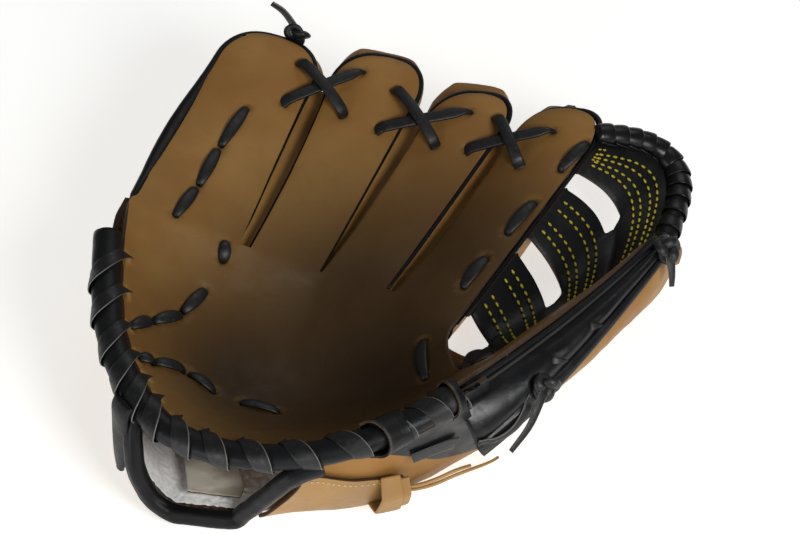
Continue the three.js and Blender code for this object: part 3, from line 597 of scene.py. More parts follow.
def leather(name, fresh, worn, deep, light, rough, grain_mm, crease, spec):
    """Chrome-tanned cowhide, drum-dyed and lightly finished: pebbled pores, creases that run
    together, a darker tone that is partly oil worked in and partly painted shade of the pocket,
    a painted highlight round lace holes and on rims, and painted shade in each lace hole."""
    made, tree, where = start_pattern(name)
    mottle = noisy(tree, where, 14.0, 4.0)
    fine = noisy(tree, where, 90.0, 5.0)
    pores = add_node(tree, "ShaderNodeTexVoronoi", {"Vector": where, "Scale": 1000 / grain_mm}).outputs[0]
    bend = add_node(tree, "ShaderNodeTexNoise", {"Vector": where, "Scale": 30.0}).outputs[1]
    bent = add_node(tree, "ShaderNodeMix", {0: 0.06, 4: where, 5: bend}, data_type="VECTOR").outputs[1]
    cells = {"Vector": bent, "Scale": 70.0}
    folds = add_node(tree, "ShaderNodeTexVoronoi", cells, feature="DISTANCE_TO_EDGE").outputs[0]
    base = mixed(tree, ranged(tree, mottle, 0.35, 0.65), fresh, worn)
    base = mixed(tree, ranged(tree, fine, 0.5, 0.75, 0.0, 0.35), base, worn)
    # The first colour darkens the leather with oil and painted shade, the second lightens it as a painted
    # highlight, the third is painted shade in each lace hole.
    for attribute, colour in (("shade", deep), ("painted_highlight", light), ("hole", linear("#0a0806"))):
        base = mixed(tree, fact(tree, attribute), base, colour)
    gloss = ranged(tree, fine, 0.3, 0.7, rough - 0.05, rough + 0.09)
    grain = bumped(tree, 0.2, 0.1, pores)
    creased = bumped(tree, crease, 0.35, ranged(tree, folds, 0.0, 0.16), grain)
    end_material(tree, base, gloss, bumped(tree, 0.25, 0.6, fine, creased), Specular_IOR_Level=spec)
    return made


def lace_leather(name, face, highlight_and_fleck, rough):
    """Rawhide lace, cut in strips and dyed: smooth on its face, its edges made paler as a painted highlight.
    """
    made, tree, where = start_pattern(name)
    fine = noisy(tree, where, 420.0, 4.0)
    # Painted highlight along the lace's edges, and a few paler flecks.
    base = mixed(tree, ranged(tree, fact(tree, "raw"), 0.3, 1.0, 0.0, 0.8), face, highlight_and_fleck)
    base = mixed(tree, ranged(tree, fine, 0.55, 0.8, 0.0, 0.05), base, highlight_and_fleck)
    gloss = ranged(tree, fine, 0.3, 0.7, rough - 0.06, rough + 0.1)
    end_material(tree, base, gloss, bumped(tree, 0.5, 0.25, fine), Specular_IOR_Level=0.5)
    return made


def thread(name, colour, dark):
    """Twisted polyester sewing thread, waxed: a satin shine, and painted shade in the groove of its twist
    every 0.9 mm.
    """
    made, tree, where = start_pattern(name)
    keys = {"Vector": where, "Scale": 350.0, "Distortion": 2.0}
    twist = add_node(tree, "ShaderNodeTexWave", keys).outputs[0]
    # The darker colour is painted shade in the grooves of the twist.
    base = mixed(tree, ranged(tree, twist, 0.2, 0.8, 0.35, 0.0), colour, dark)
    end_material(tree, base, 0.5, bumped(tree, 0.5, 0.2, twist))
    return made


def fleece(name, colour, shadow):
    """Sheared sheepskin: tufts about 3 mm wide, deep soft shadows between them, no shine."""
    made, tree, where = start_pattern(name)
    keys = {"Vector": where, "Scale": 330.0, "Detail": 6.0, "Roughness": 0.7}
    tufts = add_node(tree, "ShaderNodeTexNoise", keys).outputs[0]
    base = mixed(tree, ranged(tree, tufts, 0.3, 0.6), shadow, colour)
    soft = {"Sheen_Weight": 0.6, "Sheen_Roughness": 0.5, "Specular_IOR_Level": 0.2}
    end_material(tree, base, 0.95, bumped(tree, 0.5, 0.8, tufts), **soft)
    return made


def label_cloth(name, colour, shadow):
    """Woven satin label: threads 0.5 mm apart, drawn coarser than real so that they show."""
    made, tree, where = start_pattern(name)
    keys = {"Vector": where, "Scale": 400.0}
    warp, weft = (add_node(tree, "ShaderNodeTexWave", keys, bands_direction=way).outputs[0] for way in "XY")
    weave = add_node(tree, "ShaderNodeMath", {0: warp, 1: weft}, operation="MULTIPLY").outputs[0]
    creases = noisy(tree, where, 60.0, 3.0)
    base = mixed(tree, ranged(tree, creases, 0.35, 0.6), shadow, colour)
    woven = bumped(tree, 0.4, 0.15, weave)
    end_material(tree, base, 0.7, bumped(tree, 0.5, 1.2, creases, woven), Sheen_Weight=0.2)
    return made


def plain_stage(name, colour):
    """Matt studio paper, lit from behind a little so that it stays pale in low light."""
    made, tree = start_material(name)
    end_material(tree, colour, 0.9, Emission_Color=colour, Emission_Strength=0.7)
    return made


def finish(name):
    """A material by name, made the first time that a piece asks for it."""
    if name in bpy.data.materials:
        return bpy.data.materials[name]
    c = bpy.context.scene.glove_colours
    # The third colour of each leather darkens it with oil and painted shade, the fourth is its painted
    # highlight.
    tan = (c.tan, c.tan_worn, c.tan_oil_and_shade, c.tan_highlight)
    strap_tan = (c.strap, c.tan, c.tan_oil_and_shade, c.tan_highlight)
    black = (c.black, c.black_worn, c.black, c.black_highlight)
    # Each leather: its colours, roughness, grain in mm, depth of creases, and shine.
    makers = {
        "tan_cowhide": lambda n: leather(n, *tan, 0.5, 1.1, 0.1, 0.22),
        "tan_strap_leather": lambda n: leather(n, *strap_tan, 0.5, 1.3, 0.25, 0.4),
        "black_cowhide": lambda n: leather(n, *black, 0.42, 1.2, 0.15, 0.25),
        "black_glossy_cowhide": lambda n: leather(n, *black, 0.33, 1.3, 0.1, 0.35),
        "black_rawhide_lace": lambda n: lace_leather(n, c.lace, c.lace_highlight, 0.46),
        "leather_cut_edge": lambda n: lace_leather(n, c.cut_edge, c.cut_edge, 0.75),
        "leather_flesh_side": lambda n: lace_leather(n, c.flesh_side, c.flesh_side, 0.85),
        "yellow_thread": lambda n: thread(n, c.thread, linear("#5a4c08")),
        "cream_thread": lambda n: thread(n, c.label, linear("#8d8778")),
        "sheepskin": lambda n: fleece(n, c.fleece, linear("#e6e3dc")),
        "woven_label": lambda n: label_cloth(n, c.label, linear("#a8a08c")),
        "studio_paper": lambda n: plain_stage(n, c.paper),
    }
    return makers[name](name)


# Settings
def colour_setting(name, description, colour):
    return bpy.props.FloatVectorProperty(
        name=name, description=description, default=linear(colour), size=4, subtype="COLOR", min=0, max=1
    )


class GLOVE_PG_colours(bpy.types.PropertyGroup):
    tan: colour_setting("Tan", "Fresh tan leather", "#a47c44")
    tan_worn: colour_setting("Worn tan", "Tan leather where it is rubbed", "#946a36")
    # Partly oil, partly painted shade of the pocket.
    tan_oil_and_shade: colour_setting("Oiled tan", "Tan leather in the pocket, dark with oil", "#281b0c")
    # Painted highlight on the lip round a lace hole.
    tan_highlight: colour_setting("Rubbed tan", "Tan leather's pale edge round a lace hole", "#c49a52")
    strap: colour_setting("Strap", "Paler tan of the wrist strap", "#94734a")
    black: colour_setting("Black", "Black leather", "#0d0d0f")
    black_worn: colour_setting("Worn black", "Black leather where it is rubbed", "#131416")
    # Painted highlight on black leather's rims and piping.
    black_highlight: colour_setting("Rubbed black", "Black leather's grey raw edge", "#7d7d78")
    lace: colour_setting("Lace", "Black rawhide lace", "#101112")
    # Painted highlight along a lace's edges.
    lace_highlight: colour_setting("Lace edge", "The lace's cut edge", "#84847e")
    cut_edge: colour_setting("Cut edge", "The shell leather's cut edge", "#3d2a18")
    flesh_side: colour_setting("Flesh side", "The leather's rough inner side", "#8a6a48")
    thread: colour_setting("Thread", "Sewing thread of the web", "#c2b21f")
    fleece: colour_setting("Fleece", "Lining at the wrist", "#ffffff")
    label: colour_setting("Label", "Blank woven label", "#cfc9ba")
    paper: colour_setting("Paper", "Studio floor", "#f1f1ef")


def length_setting(name, description, size_mm):
    return bpy.props.FloatProperty(
        name=name, description=description, default=size_mm * MM, min=0, unit="LENGTH", precision=5
    )


class GLOVE_PG_sizes(bpy.types.PropertyGroup):
    lace_width: length_setting("Lace width", "Width of the black lace", 6.6)
    lace_thick: length_setting("Lace thickness", "Thickness of the black lace", 2.0)
    hole_reach: length_setting("Hole reach", "How far leather is pulled in round a lace hole", 5.0)
    hole_depth: length_setting("Hole depth", "How deep leather is pulled in at a lace hole", 1.8)
    stitch_length: length_setting("Stitch length", "Length of one sewn stitch", 3.3)
    stitch_pitch: length_setting("Stitch pitch", "Way from one sewn stitch to the next", 4.6)
    rim_wraps: bpy.props.IntProperty(
        name="Web wraps", description="Turns of lace round the web's rim", default=12, min=3, max=40
    )


def mm(name):
    """A length setting in millimetres."""
    return getattr(bpy.context.scene.glove_sizes, name) / MM


# Lace stitches, as places on the palm and on the fingers' faces
PALM_STITCHES = [
    ((0.215, 0.02), (0.23, 0.105)),
    ((0.177, 0.93), (0.185, 0.75)),
    ((0.19, 0.71), (0.215, 0.515)),
    ((0.215, 0.475), (0.23, 0.29)),
    ((0.25, 0.95), (0.265, 0.88)),
    ((0.27, 0.85), (0.315, 0.72)),
    ((0.333, 0.7), (0.395, 0.675)),
    ((0.47, 0.65), (0.55, 0.635)),
    ((0.905, 0.21), (0.89, 0.46)),
]
FINGER_STITCHES = [
    (LITTLE, (0.62, 0.02), (0.41, -0.1)),
    (LITTLE, (0.38, -0.11), (0.2, -0.11)),
    (LITTLE, (0.17, -0.12), (0.02, -0.19)),
    (INDEX, (0.865, 0.93), (0.735, 0.78)),
    (INDEX, (0.575, 0.75), (0.425, 0.65)),
    (INDEX, (0.295, 0.6), (0.155, 0.56)),
]
TIP_LACES = [
    (0, (0.907, 0.67), (0.7, -0.41), True),
    (0, (0.707, 0.66), (0.907, -0.42), False),
    (1, (0.86, 0.48), (0.72, -0.34), True),
    (1, (0.673, 0.54), (0.897, 0.02), False),
    (2, (0.893, 0.78), (0.71, -0.26), True),
    (2, (0.72, 0.56), (0.88, 0), False),
]
# Where the heel's lace goes through the palm, as shares of the rim.
HEEL_HOLES = [0.036, 0.102, 0.175, 0.24, 0.296, 0.345, 0.412, 0.483, 0.556, 0.633, 0.714, 0.791, 0.868, 0.93]


def heel_hole(t):
    return palm_edge(t) + inward(t) * 2.2


def lace_holes():
    """Every place where a lace goes into the palm's leather."""
    made = [palm(*spot) for row in PALM_STITCHES for spot in row]
    made += [stall.face(*spot) for stall, *spots in FINGER_STITCHES for spot in spots]
    for k, first, second, _ in TIP_LACES:
        made += [FINGERS[k].face(*first), FINGERS[k + 1].face(*second)]
    made += [heel_hole(t) for t in HEEL_HOLES]
    return made


def root_columns(each):
    """Shares of the root line at which the palm has its columns, so that they meet the faces'."""
    shares = []
    for k, (first, last) in enumerate(ROOT_SPANS):
        shares += [k / 4, *even(each, first, last)]
    shares.append(1)
    return [t for i, t in enumerate(shares) if i == 0 or t - shares[i - 1] > 1e-4]


# Where the leather is darkened, partly by oil and partly as painted shade of the pocket: the place, its
# reach in mm, and how dark it is at most.
OIL_AND_SHADE = [
    (palm(0.8, 0.42), 88, 0.95),
    (palm(0.43, 0.56), 66, 0.95),
    (palm(0.6, 0.02), 62, 0.75),
    (INDEX.face(0.35, 0.4), 72, 0.8),
]
SOFT_REACH, SOFT_PASSES = 15, 16  # how far from a seam the palm is smoothed, and how often
# How dark the painted shade of a lace hole is, and its reach in mm; the hole itself is only a dent.
HOLE_DARK, HOLE_RADIUS = 0.85, 2.6
BORDER_RADIUS, BORDER_WIDTH = 3.6, 1.1  # the pale ring of painted highlight round each lace hole
# How strong the painted highlight is round the heel's holes and round the stitches' holes.
HEEL_BORDER, STITCH_BORDER = 0.6, 0.1


class GLOVE_OT_palm(bpy.types.Operator):
    """Palm leather with the faces of the fingers and the thumb, pulled in at each lace hole"""

    bl_idname = "glove.palm"
    bl_label = "Palm and finger faces"

    def execute(self, context):
        columns, rows, tip_rows = 22, 52, 14
        bm = bmesh.new()
        shares = root_columns(columns)
        skin(bm, len(shares) - 1, 76, lambda u, v: palm(shares[round(u * (len(shares) - 1))], 1 - v))

        def along_face(v):
            turned = rows / (rows + tip_rows)
            if v <= turned:
                return TIP_START * v / turned
            return TIP_START + (1 - TIP_START) * math.sin((v - turned) / (1 - turned) * math.pi / 2)

        for stall in FINGERS:
            face = stall.face
            skin(bm, columns, rows + tip_rows, lambda u, v, face=face: face(along_face(v), 2 * u - 1))
        skin(bm, 38, rows + tip_rows, lambda u, v: THUMB.face(along_face(v), 2 * u - 1))
        bmesh.ops.remove_doubles(bm, verts=bm.verts, dist=MERGE)
        self.soften_roots(bm)
        wrinkle(bm, 0.6, 30)
        wrinkle(bm, 0.12, 9, 5)
        holes = lace_holes()
        tree = find_near(holes)
        shade, painted_highlight, hole = (bm.verts.layers.float.new(name) for name in ("shade", "painted_highlight", "hole"))
        reach, depth = mm("hole_reach"), mm("hole_depth")
        heel_from = len(holes) - len(HEEL_HOLES)
        bm.normal_update()
        for vert in bm.verts:
            # Partly oil, partly painted shade of the pocket.
            vert[shade] = self.oil_and_shade(vert.co)
            for _, k, distance in tree.find_range(vert.co, reach * 2.2):
                vert.co -= vert.normal * depth * math.exp(-((distance / reach * 1.6) ** 2))
                # Painted shade of the hole, which is only a dent in the leather.
                vert[hole] = max(vert[hole], HOLE_DARK * math.exp(-((distance / HOLE_RADIUS) ** 2)))
                # Painted highlight on the lip round each hole.
                pale = HEEL_BORDER if k >= heel_from else STITCH_BORDER
                ring = (distance - BORDER_RADIUS) / BORDER_WIDTH
                vert[painted_highlight] = max(vert[painted_highlight], pale * math.exp(-(ring**2)))
        shell("palm_leather", bm, ["palm_panel"])
        return {"FINISHED"}

    def soften_roots(self, bm):
        """Smooths the leather where the fingers' faces leave the palm, and the lines that run
        from there down the palm."""
        lines = [root_line(i / 60) for i in range(61)]
        lines += [WEB_CORNER.lerp(palm_edge(1), i / 20) for i in range(21)]
        lines += [palm(k / 4, i / 40) for k in (1, 2, 3) for i in range(38)]
        tree = find_near(lines)
        near = [v for v in bm.verts if not v.is_boundary and tree.find(v.co)[2] < SOFT_REACH]
        axes = {"use_axis_x": True, "use_axis_y": True, "use_axis_z": True}
        for _ in range(SOFT_PASSES):
            bmesh.ops.smooth_vert(bm, verts=near, factor=0.5, **axes)

    def oil_and_shade(self, p):
        """How dark the leather is painted, partly for oil and partly as painted shade of the pocket: darkest
        between the index finger and the thumb.
        """
        clear = 1.0
        for spot, reach, most in OIL_AND_SHADE:
            clear *= 1 - most * math.exp(-(((p - spot).length / reach) ** 2))
        return 1 - clear


class GLOVE_OT_stalls(bpy.types.Operator):
    """Backs of the fingers and the thumb"""

    bl_idname = "glove.stalls"
    bl_label = "Finger and thumb backs"

    def execute(self, context):
        last = 0.985
        for k, stall in enumerate([*FINGERS, THUMB]):
            end_middle = stall.trough(last, 0).lerp(stall.trough(last, math.pi), 0.5)

            def at(u, v, stall=stall, end_middle=end_middle):
                turn = u * math.pi
                if v <= 0.92:
                    return stall.trough(0.03 + (last - 0.03) * share_tip(v / 0.92), turn)
                return stall.trough(last, turn).lerp(end_middle, (v - 0.92) / 0.08)

            def share_tip(v):
                return v if v < 0.7 else 0.7 + 0.3 * math.sin((v - 0.7) / 0.3 * math.pi / 2)

            bm = bmesh.new()
            skin(bm, 36, 75, at)
            bmesh.ops.remove_doubles(bm, verts=bm.verts, dist=MERGE)
            wrinkle(bm, 0.7, 26, 11 + k)
            wrinkle(bm, 0.12, 7, 3 + k)
            shell(f"{stall.kind}_back_leather", bm, [f"{stall.kind}_back"])
        return {"FINISHED"}


# The gussets and the tan walls over them, as shares of the fingers' length, and how deep the
# walls lie behind the left and the right finger's face.
GUSSET_FROM, GUSSET_REACH = 0.03, 0.75
WALL_FROM, WALL_REACH, WALL_SHADE = 0.02, 0.83, 0.12
WALL_LEFT_DEEP, WALL_RIGHT_DEEP = 7.5, 12
WALL_ACROSS = 0.85  # share of the gap that a wall covers


class GLOVE_OT_gussets(bpy.types.Operator):
    """Leather deep between the fingers, which closes the gaps up to the laces"""

    bl_idname = "glove.gussets"
    bl_label = "Gussets between the fingers"

    def execute(self, context):
        bm = bmesh.new()
        for left, right in zip(FINGERS, FINGERS[1:]):

            def at(u, v, left=left, right=right):
                s = GUSSET_FROM + GUSSET_REACH * v
                from_left = left.trough(s, 0.3 * math.pi, -1.5)
                to_right = right.trough(s, 0.8 * math.pi, -1.5)
                return from_left.lerp(to_right, u) - UP * 3 * math.sin(math.pi * u)

            skin(bm, 8, 50, at)
        piece("finger_gussets", bm, "black_cowhide", wall=1.6)
        bm = bmesh.new()
        for left, right in zip(FINGERS, FINGERS[1:]):

            def between(u, v, left=left, right=right):
                s = WALL_FROM + WALL_REACH * v
                near = left.edge(s, 1, WALL_LEFT_DEEP)
                far = near.lerp(right.edge(s, -1, WALL_RIGHT_DEEP, -0.5), WALL_ACROSS)
                return near.lerp(far, u) - UP * 1.5 * math.sin(math.pi * u)

            skin(bm, 10, 50, between)
        # Painted shade: the walls deep between the fingers are darkened a little with the pocket's dark
        # colour.
        paint(bm, "shade", WALL_SHADE)
        piece("finger_walls", bm, "tan_cowhide", wall=1.6)
        return {"FINISHED"}


THUMB_WELT = 1.35  # how much thicker the thumb's piping is, which meets the pad's edge


class GLOVE_OT_welts(bpy.types.Operator):
    """Black piping between each stall's face and its back"""

    bl_idname = "glove.welts"
    bl_label = "Welts"

    def execute(self, context):
        deep = LEATHER + GAP + WELT / 2
        straight = even(40, 0.03, TIP_START)
        turns = [TIP_START + (1 - TIP_START) * math.sin(i / 14 * math.pi / 2) for i in range(1, 15)]
        shares = straight + turns
        for stall in [*FINGERS, THUMB]:
            sides = [(s, -1) for s in shares] + [(s, 1) for s in reversed(shares[:-1])]
            path = [self.middle(stall, s, side, deep) for s, side in sides]

            def size(i, stall=stall, sides=sides):
                s = sides[i][0]
                thin = 0.35 + 0.65 * share_of(s, 0.03, 0.2) + 0.3 * share_of(s, 0.75, 0.95)
                radius = WELT / 2 * (THUMB_WELT if stall is THUMB else thin)
                return radius, radius

            bm = bmesh.new()
            tube(bm, path, lambda i, stall=stall, sides=sides: stall.normal(sides[i][0]), size, 10)
            piece(f"{stall.kind}_piping", bm, "black_cowhide", [f"{stall.kind}_welt"])
        return {"FINISHED"}

    def middle(self, stall, s, side, deep):
        """The piping's middle, which stands out past the face round the tip."""
        end = share_of(s, 0.72, 0.95)
        past_tip = stall.along(s) * 2.2 * share_of(s, 0.85, 1)
        return stall.edge(s, side, deep, -WELT * 0.1 + 1.2 * end) + past_tip


class GLOVE_OT_side_band(bpy.types.Operator):
    """Black leather band along the little finger's outer edge"""

    bl_idname = "glove.side_band"
    bl_label = "Little finger's band"

    def execute(self, context):
        bm = bmesh.new()
        shares = even(80, 0, 0.97)
        outs = [self.stands_out(s) for s in shares]
        path = [LITTLE.edge(s, -1, 1.4 + out * 0.35, (out - 1.6) / 2) for s, out in zip(shares, outs)]

        def size(i):
            thin = share_of(shares[i], 0, 0.05)
            return 0.6 + (outs[i] + 1.6) / 2 * thin, 0.8 + 2.2 * thin

        tube(bm, path, lambda i: LITTLE.normal(shares[i]), size, 18)
        wrinkle(bm, 0.15, 14)
        piece("little_finger_band", bm, "black_cowhide")
        return {"FINISHED"}

    def stands_out(self, s):
        """How far the band's outer edge stands out past the finger's face."""
        return 1.2 + 5.8 * math.sin(math.pi * clamp((s - 0.02) / 0.84)) ** 1.3


# Each turn of the heel's lace: the angles round the roll where it starts and how far it goes,
# the share of the rim that it moves along, its thickness, and how it leans.
LACE_START, LACE_TURN, LACE_SLANT, HEEL_LACE_THICK, LACE_LEAN = -22, 262, 0.052, 0.9, -1.7
HEEL_LACE_EDGES = (1.0, 0.0)  # only the edge towards the thumb is turned up, and it gets the painted highlight
# Loose turns near the thumb: from and to as shares of the rim, how far the first end stands
# open and slants back, and the angle round the roll at which it does.
HEEL_LOOPS = [(0.775, 0.85, 4.0, 0.035, 140), (0.945, 1.03, 3.5, 0.035, 100)]


def heel_radius(t):
    """Half the roll's width and height: it swells a little between its laces."""
    swell = 0.25 * noise.noise(Vector((t * 22, 0, 0)))
    return ROLL_WIDTH / 2 + swell, ROLL_HEIGHT / 2 + swell


def round_heel(t, angle, out=0.0):
    """A point on the roll's skin, and the way out there: 0 is at the palm, 90 on top."""
    way = rim_way(t)
    side = way.cross(UP).normalized()
    high = side.cross(way).normalized()
    wide, tall = heel_radius(t)
    a = math.radians(angle)
    on = rim(t) - side * math.cos(a) * (wide + out) + high * math.sin(a) * (tall + out)
    return on, (high * math.sin(a) - side * math.cos(a)).normalized()


class GLOVE_OT_heel(bpy.types.Operator):
    """Rolled edge of the heel with its turns of lace"""

    bl_idname = "glove.heel"
    bl_label = "Heel roll and its laces"

    def execute(self, context):
        count = 150
        bm = bmesh.new()
        tube(bm, [rim(t) for t in even(count)], lambda i: UP, lambda i: heel_radius(i / count), 24)
        wrinkle(bm, 0.25, 12)
        piece("heel_roll_leather", bm, "black_cowhide", ["heel_roll"])
        bm = bmesh.new()
        for t in HEEL_HOLES:
            self.turn(bm, t)
        piece("heel_laces", bm, "black_rawhide_lace")
        bm = bmesh.new()
        for row in HEEL_LOOPS:
            self.loop(bm, *row)
        piece("heel_roll_loops", bm, "black_cowhide", wall=1.3)
        return {"FINISHED"}

    def turn(self, bm, t):
        """One turn of lace, from its hole in the palm over the roll and down its outside."""
        steps = 34
        path, ups = [], []
        for i in range(steps + 1):
            k = i / steps
            now = clamp(t + LACE_SLANT * share_of(k, 0, 0.75))
            on, out = round_heel(now, LACE_START + LACE_TURN * k, 0.3)
            dip = 1 - share_of(k, 0, 0.16)
            path.append(on + inward(now) * 6.0 * dip - UP * 0.6 * dip)
            ups.append(out)

        def width(i):
            return 0.8 + 5.7 * share_of(i / steps, 0.0, 0.16) + 4 * share_of(i / steps, 0.16, 0.6)

        strap(bm, path, lambda i: ups[i], width, HEEL_LACE_THICK, 0.1, HEEL_LACE_EDGES, LACE_LEAN)

    def loop(self, bm, first, last, flare, slant, towards):
        """A loose turn of leather round the roll, whose slanting first end stands open."""
        painted_highlight = bm.verts.layers.float.get("painted_highlight") or bm.verts.layers.float.new("painted_highlight")

        def at(u, v):
            angle = -360 * u
            open_share = max(math.cos(math.radians(angle - towards)), 0) ** 0.8
            start = first + slant * open_share
            out = 1.2 + flare * (1 - v) ** 1.3 * open_share
            return round_heel(start + (last - start) * v, angle, out)[0]

        made = skin(bm, 36, 16, at)
        for k, vert in enumerate(made):
            # The open end's rim gets a painted highlight.
            vert[painted_highlight] = (0.4, 0.12)[k // 37] if k < 74 else 0
        bmesh.ops.remove_doubles(bm, verts=made, dist=MERGE)


def bar_edges(k, w):
    """The lower and upper edge of bar k of the web at w; a window's far end is rounded."""
    low = 0.0 if k == 0 else window_edge(k - 1, w, 1)
    high = WEB_TOP + 0.012 if k == len(WEB_WINDOWS) else window_edge(k, w, -1)
    return low, high


def window_edge(k, w, side):
    low, high, reach = WEB_WINDOWS[k]
    far = clamp((w - (reach - 0.05)) / 0.05)
    near = clamp((0.02 - w) / 0.02)
    rounded = math.sqrt(max(1 - far**3, 0)) * math.sqrt(max(1 - near**2, 0) * 0.3 + 0.7)
    half = (high - low) / 2 * rounded
    return (low + high) / 2 + side * half


# The web's sewn rows, as shares of its height: two pairs on each of the upper three bars.
WEB_ROWS = [0.295, 0.33, 0.395, 0.43, 0.582, 0.612, 0.66, 0.69, 0.832, 0.858, 0.892, 0.918]


class GLOVE_OT_web(bpy.types.Operator):
    """Web of crowned leather bars with its sewn rows and its laced rim"""

    bl_idname = "glove.web"
    bl_label = "Web"

    def execute(self, context):
        bm = bmesh.new()
        for k in range(len(WEB_WINDOWS) + 1):
            skin(bm, 96, 16, lambda u, v, k=k: self.on_bar(k, u, v))
        bmesh.ops.remove_doubles(bm, verts=bm.verts, dist=MERGE)
        wrinkle(bm, 0.3, 20)
        piece("web_leather", bm, "black_cowhide", ["web_panel"], WEB_LEATHER)
        bm = bmesh.new()
        spots = even(80, 0.02, 0.82)
        for h in WEB_ROWS:
            ups = [self.out(u, h) for u in spots]
            path = [web(u, h) + up * 1.6 for u, up in zip(spots, ups)]
            dashes(bm, path, lambda i: ups[i], mm("stitch_length"), mm("stitch_pitch"), 1.5)
        self.tacks(bm)
        piece("web_stitching", bm, "yellow_thread")
        self.rim(context)
        return {"FINISHED"}

    def on_bar(self, k, u, v):
        low, high = bar_edges(k, u)
        return web(u, low + (high - low) * v) + UP * 1.2 * (1 - (2 * v - 1) ** 4)

    def tacks(self, bm):
        """Short close rows of stitches where the web is sewn down, at both ends of its top bar."""
        for first, last, low, high in ((0.005, 0.05, 0.87, 0.94), (0.95, 0.985, 0.86, 0.93)):
            for j in range(4):
                h = low + (high - low) * j / 3
                up = self.out((first + last) / 2, h)
                path = [web(u, h) + up * 1.6 for u in even(8, first, last)]
                dashes(bm, path, lambda i, up=up: up, 2.4, 3.0, 1.3)

    def out(self, u, h):
        across = web(u + 0.01, h) - web(u - 0.01, h)
        return across.cross(web(u, h + 0.01) - web(u, h - 0.01)).normalized()

    def rim(self, context):
        count = 110
        path = [web_rim(w) for w in even(count, 0.005, 0.89)]
        size = RIM_SIZE / 2
        bm = bmesh.new()
        tube(bm, path, lambda i: UP, lambda i: (size, size * 0.85), 20)
        wrinkle(bm, 0.2, 10)
        piece("web_rim_leather", bm, "black_cowhide", ["web_rim"])
        bm = bmesh.new()
        wraps = context.scene.glove_sizes.rim_wraps
        for k in range(wraps):
            middle = (k + 0.5) / wraps
            turn_path, ups = [], []
            for i in range(29):
                at = middle + 0.02 * (i / 28 - 0.5)
                here = curve(path, at)
                way = (curve(path, clamp(at + 0.004)) - curve(path, clamp(at - 0.004))).normalized()
                side = way.cross(UP).normalized()
                high = side.cross(way).normalized()
                angle = 2 * math.pi * i / 28 * 0.98
                out = side * math.cos(angle) + high * math.sin(angle)
                on_side = side * math.cos(angle) * (size + 0.1)
                turn_path.append(here + on_side + high * math.sin(angle) * (size * 0.85 + 0.1))
                ups.append(out)
            strap(bm, turn_path, lambda i: ups[i], lambda i: 9.2, 0.8, 0.3, (0.0, 0.6), 1.2)
        piece("web_rim_laces", bm, "black_glossy_cowhide")


PAD_SLOTS = [(0.42, 0.575), (0.36, 0.39)]
# The thumb's base in rows along the back: where its upper edge hangs, as shares of the rim,
# and the turns round the back of its lower edge and of where it leaves the back.
BASE_ROWS = [0.39, 0.45, 0.51, 0.57, 0.63, 0.7, 0.78]
BASE_HUNG = [0.81, 0.84, 0.88, 0.92, 0.96, 1.0, 1.04]
BASE_LOW = [2.96, 2.9, 2.83, 2.77, 2.75, 2.82, 2.93]
BASE_HIGH = 2.99


class GLOVE_OT_thumb(bpy.types.Operator):
    """Padded black panel on the thumb, and the leather between it and the heel roll"""

    bl_idname = "glove.thumb"
    bl_label = "Thumb's pad and base"

    def execute(self, context):
        bm = bmesh.new()
        skin(bm, 48, 110, pad)
        wrinkle(bm, 0.35, 24)
        hole = bm.verts.layers.float.new("hole")
        slots = [pad(u, v) for u, v in PAD_SLOTS]
        for vert in bm.verts:
            near = min((vert.co - slot).length for slot in slots)
            # Painted shade in each slot.
            vert[hole] = 0.9 * math.exp(-((near / 3.2) ** 2))
            vert.co -= back_out(2.9, 0.6) * math.exp(-((near / 5) ** 2))
        made = piece("thumb_pad_leather", bm, "black_glossy_cowhide", ["thumb_pad"],
                     LEATHER)
        bm = bmesh.new()
        shares = even(90)
        loop = [(0.0, v) for v in shares] + [(u, 1.0) for u in even(20)[1:]]
        loop += [(1.0, 1 - v) for v in shares[1:]]
        path = [pad(u, v) for u, v in loop]
        outs = [(pad(clamp(u + 0.02) if u < 0.5 else u, v) - THUMB.centre(v)).normalized() for u, v in loop]
        tube(bm, path, lambda i: outs[i], lambda i: (1.2, 1.2), 8)
        # Painted highlight along the piping.
        paint(bm, "painted_highlight", 0.15)
        piece("thumb_pad_piping", bm, "black_cowhide")
        self.flaps()
        self.base()
        return {"FINISHED"}

    def flaps(self):
        """A pointed end of lace that shows in each of the pad's slots."""
        bm = bmesh.new()
        for u, v in PAD_SLOTS:
            steps = 14
            spots = list(zip(even(steps, u - 0.08, u + 0.22), even(steps, v - 0.02, v + 0.03)))
            lifts = [-0.9 + 1.2 * math.sin(math.pi * k) ** 0.7 for k in even(steps)]
            lay(bm, pad, spots, lambda i: lifts[i], lambda i: 4.4 - 3.8 * i / steps, 0.6, 0, (0.4, 0.1), 0.6)
        piece("thumb_pad_flaps", bm, "black_rawhide_lace")

    def base(self):
        rows = [Vector((share, low, 0)) for share, low in zip(BASE_ROWS, BASE_LOW)]
        hung = [Vector((share, 0, 0)) for share in BASE_HUNG]

        def at(u, v):
            share, low, _ = curve(rows, 1 - v)
            under_roll = round_heel(curve(hung, 1 - v).x, 205, 0.6)[0]
            low_edge = off_back(low + (BASE_HIGH - low) * min(u / 0.7, 1), share, SEAT + LEATHER)
            return low_edge.lerp(under_roll, share_of(u, 0.62, 1))

        bm = bmesh.new()
        skin(bm, 34, 60, at)
        wrinkle(bm, 0.3, 16)
        piece("thumb_base_leather", bm, "black_glossy_cowhide", ["thumb_base"], LEATHER)
        spots = [(2.88 + 0.02 * k, 0.47 + 0.15 * k) for k in even(20)]
        bm = bmesh.new()
        lay(bm, off_back, spots, lambda i: SEAT + LEATHER + 1.1, lambda i: 8.2, 0.9, 0, (0.5, 1.0))
        piece("thumb_base_lace", bm, "black_rawhide_lace")


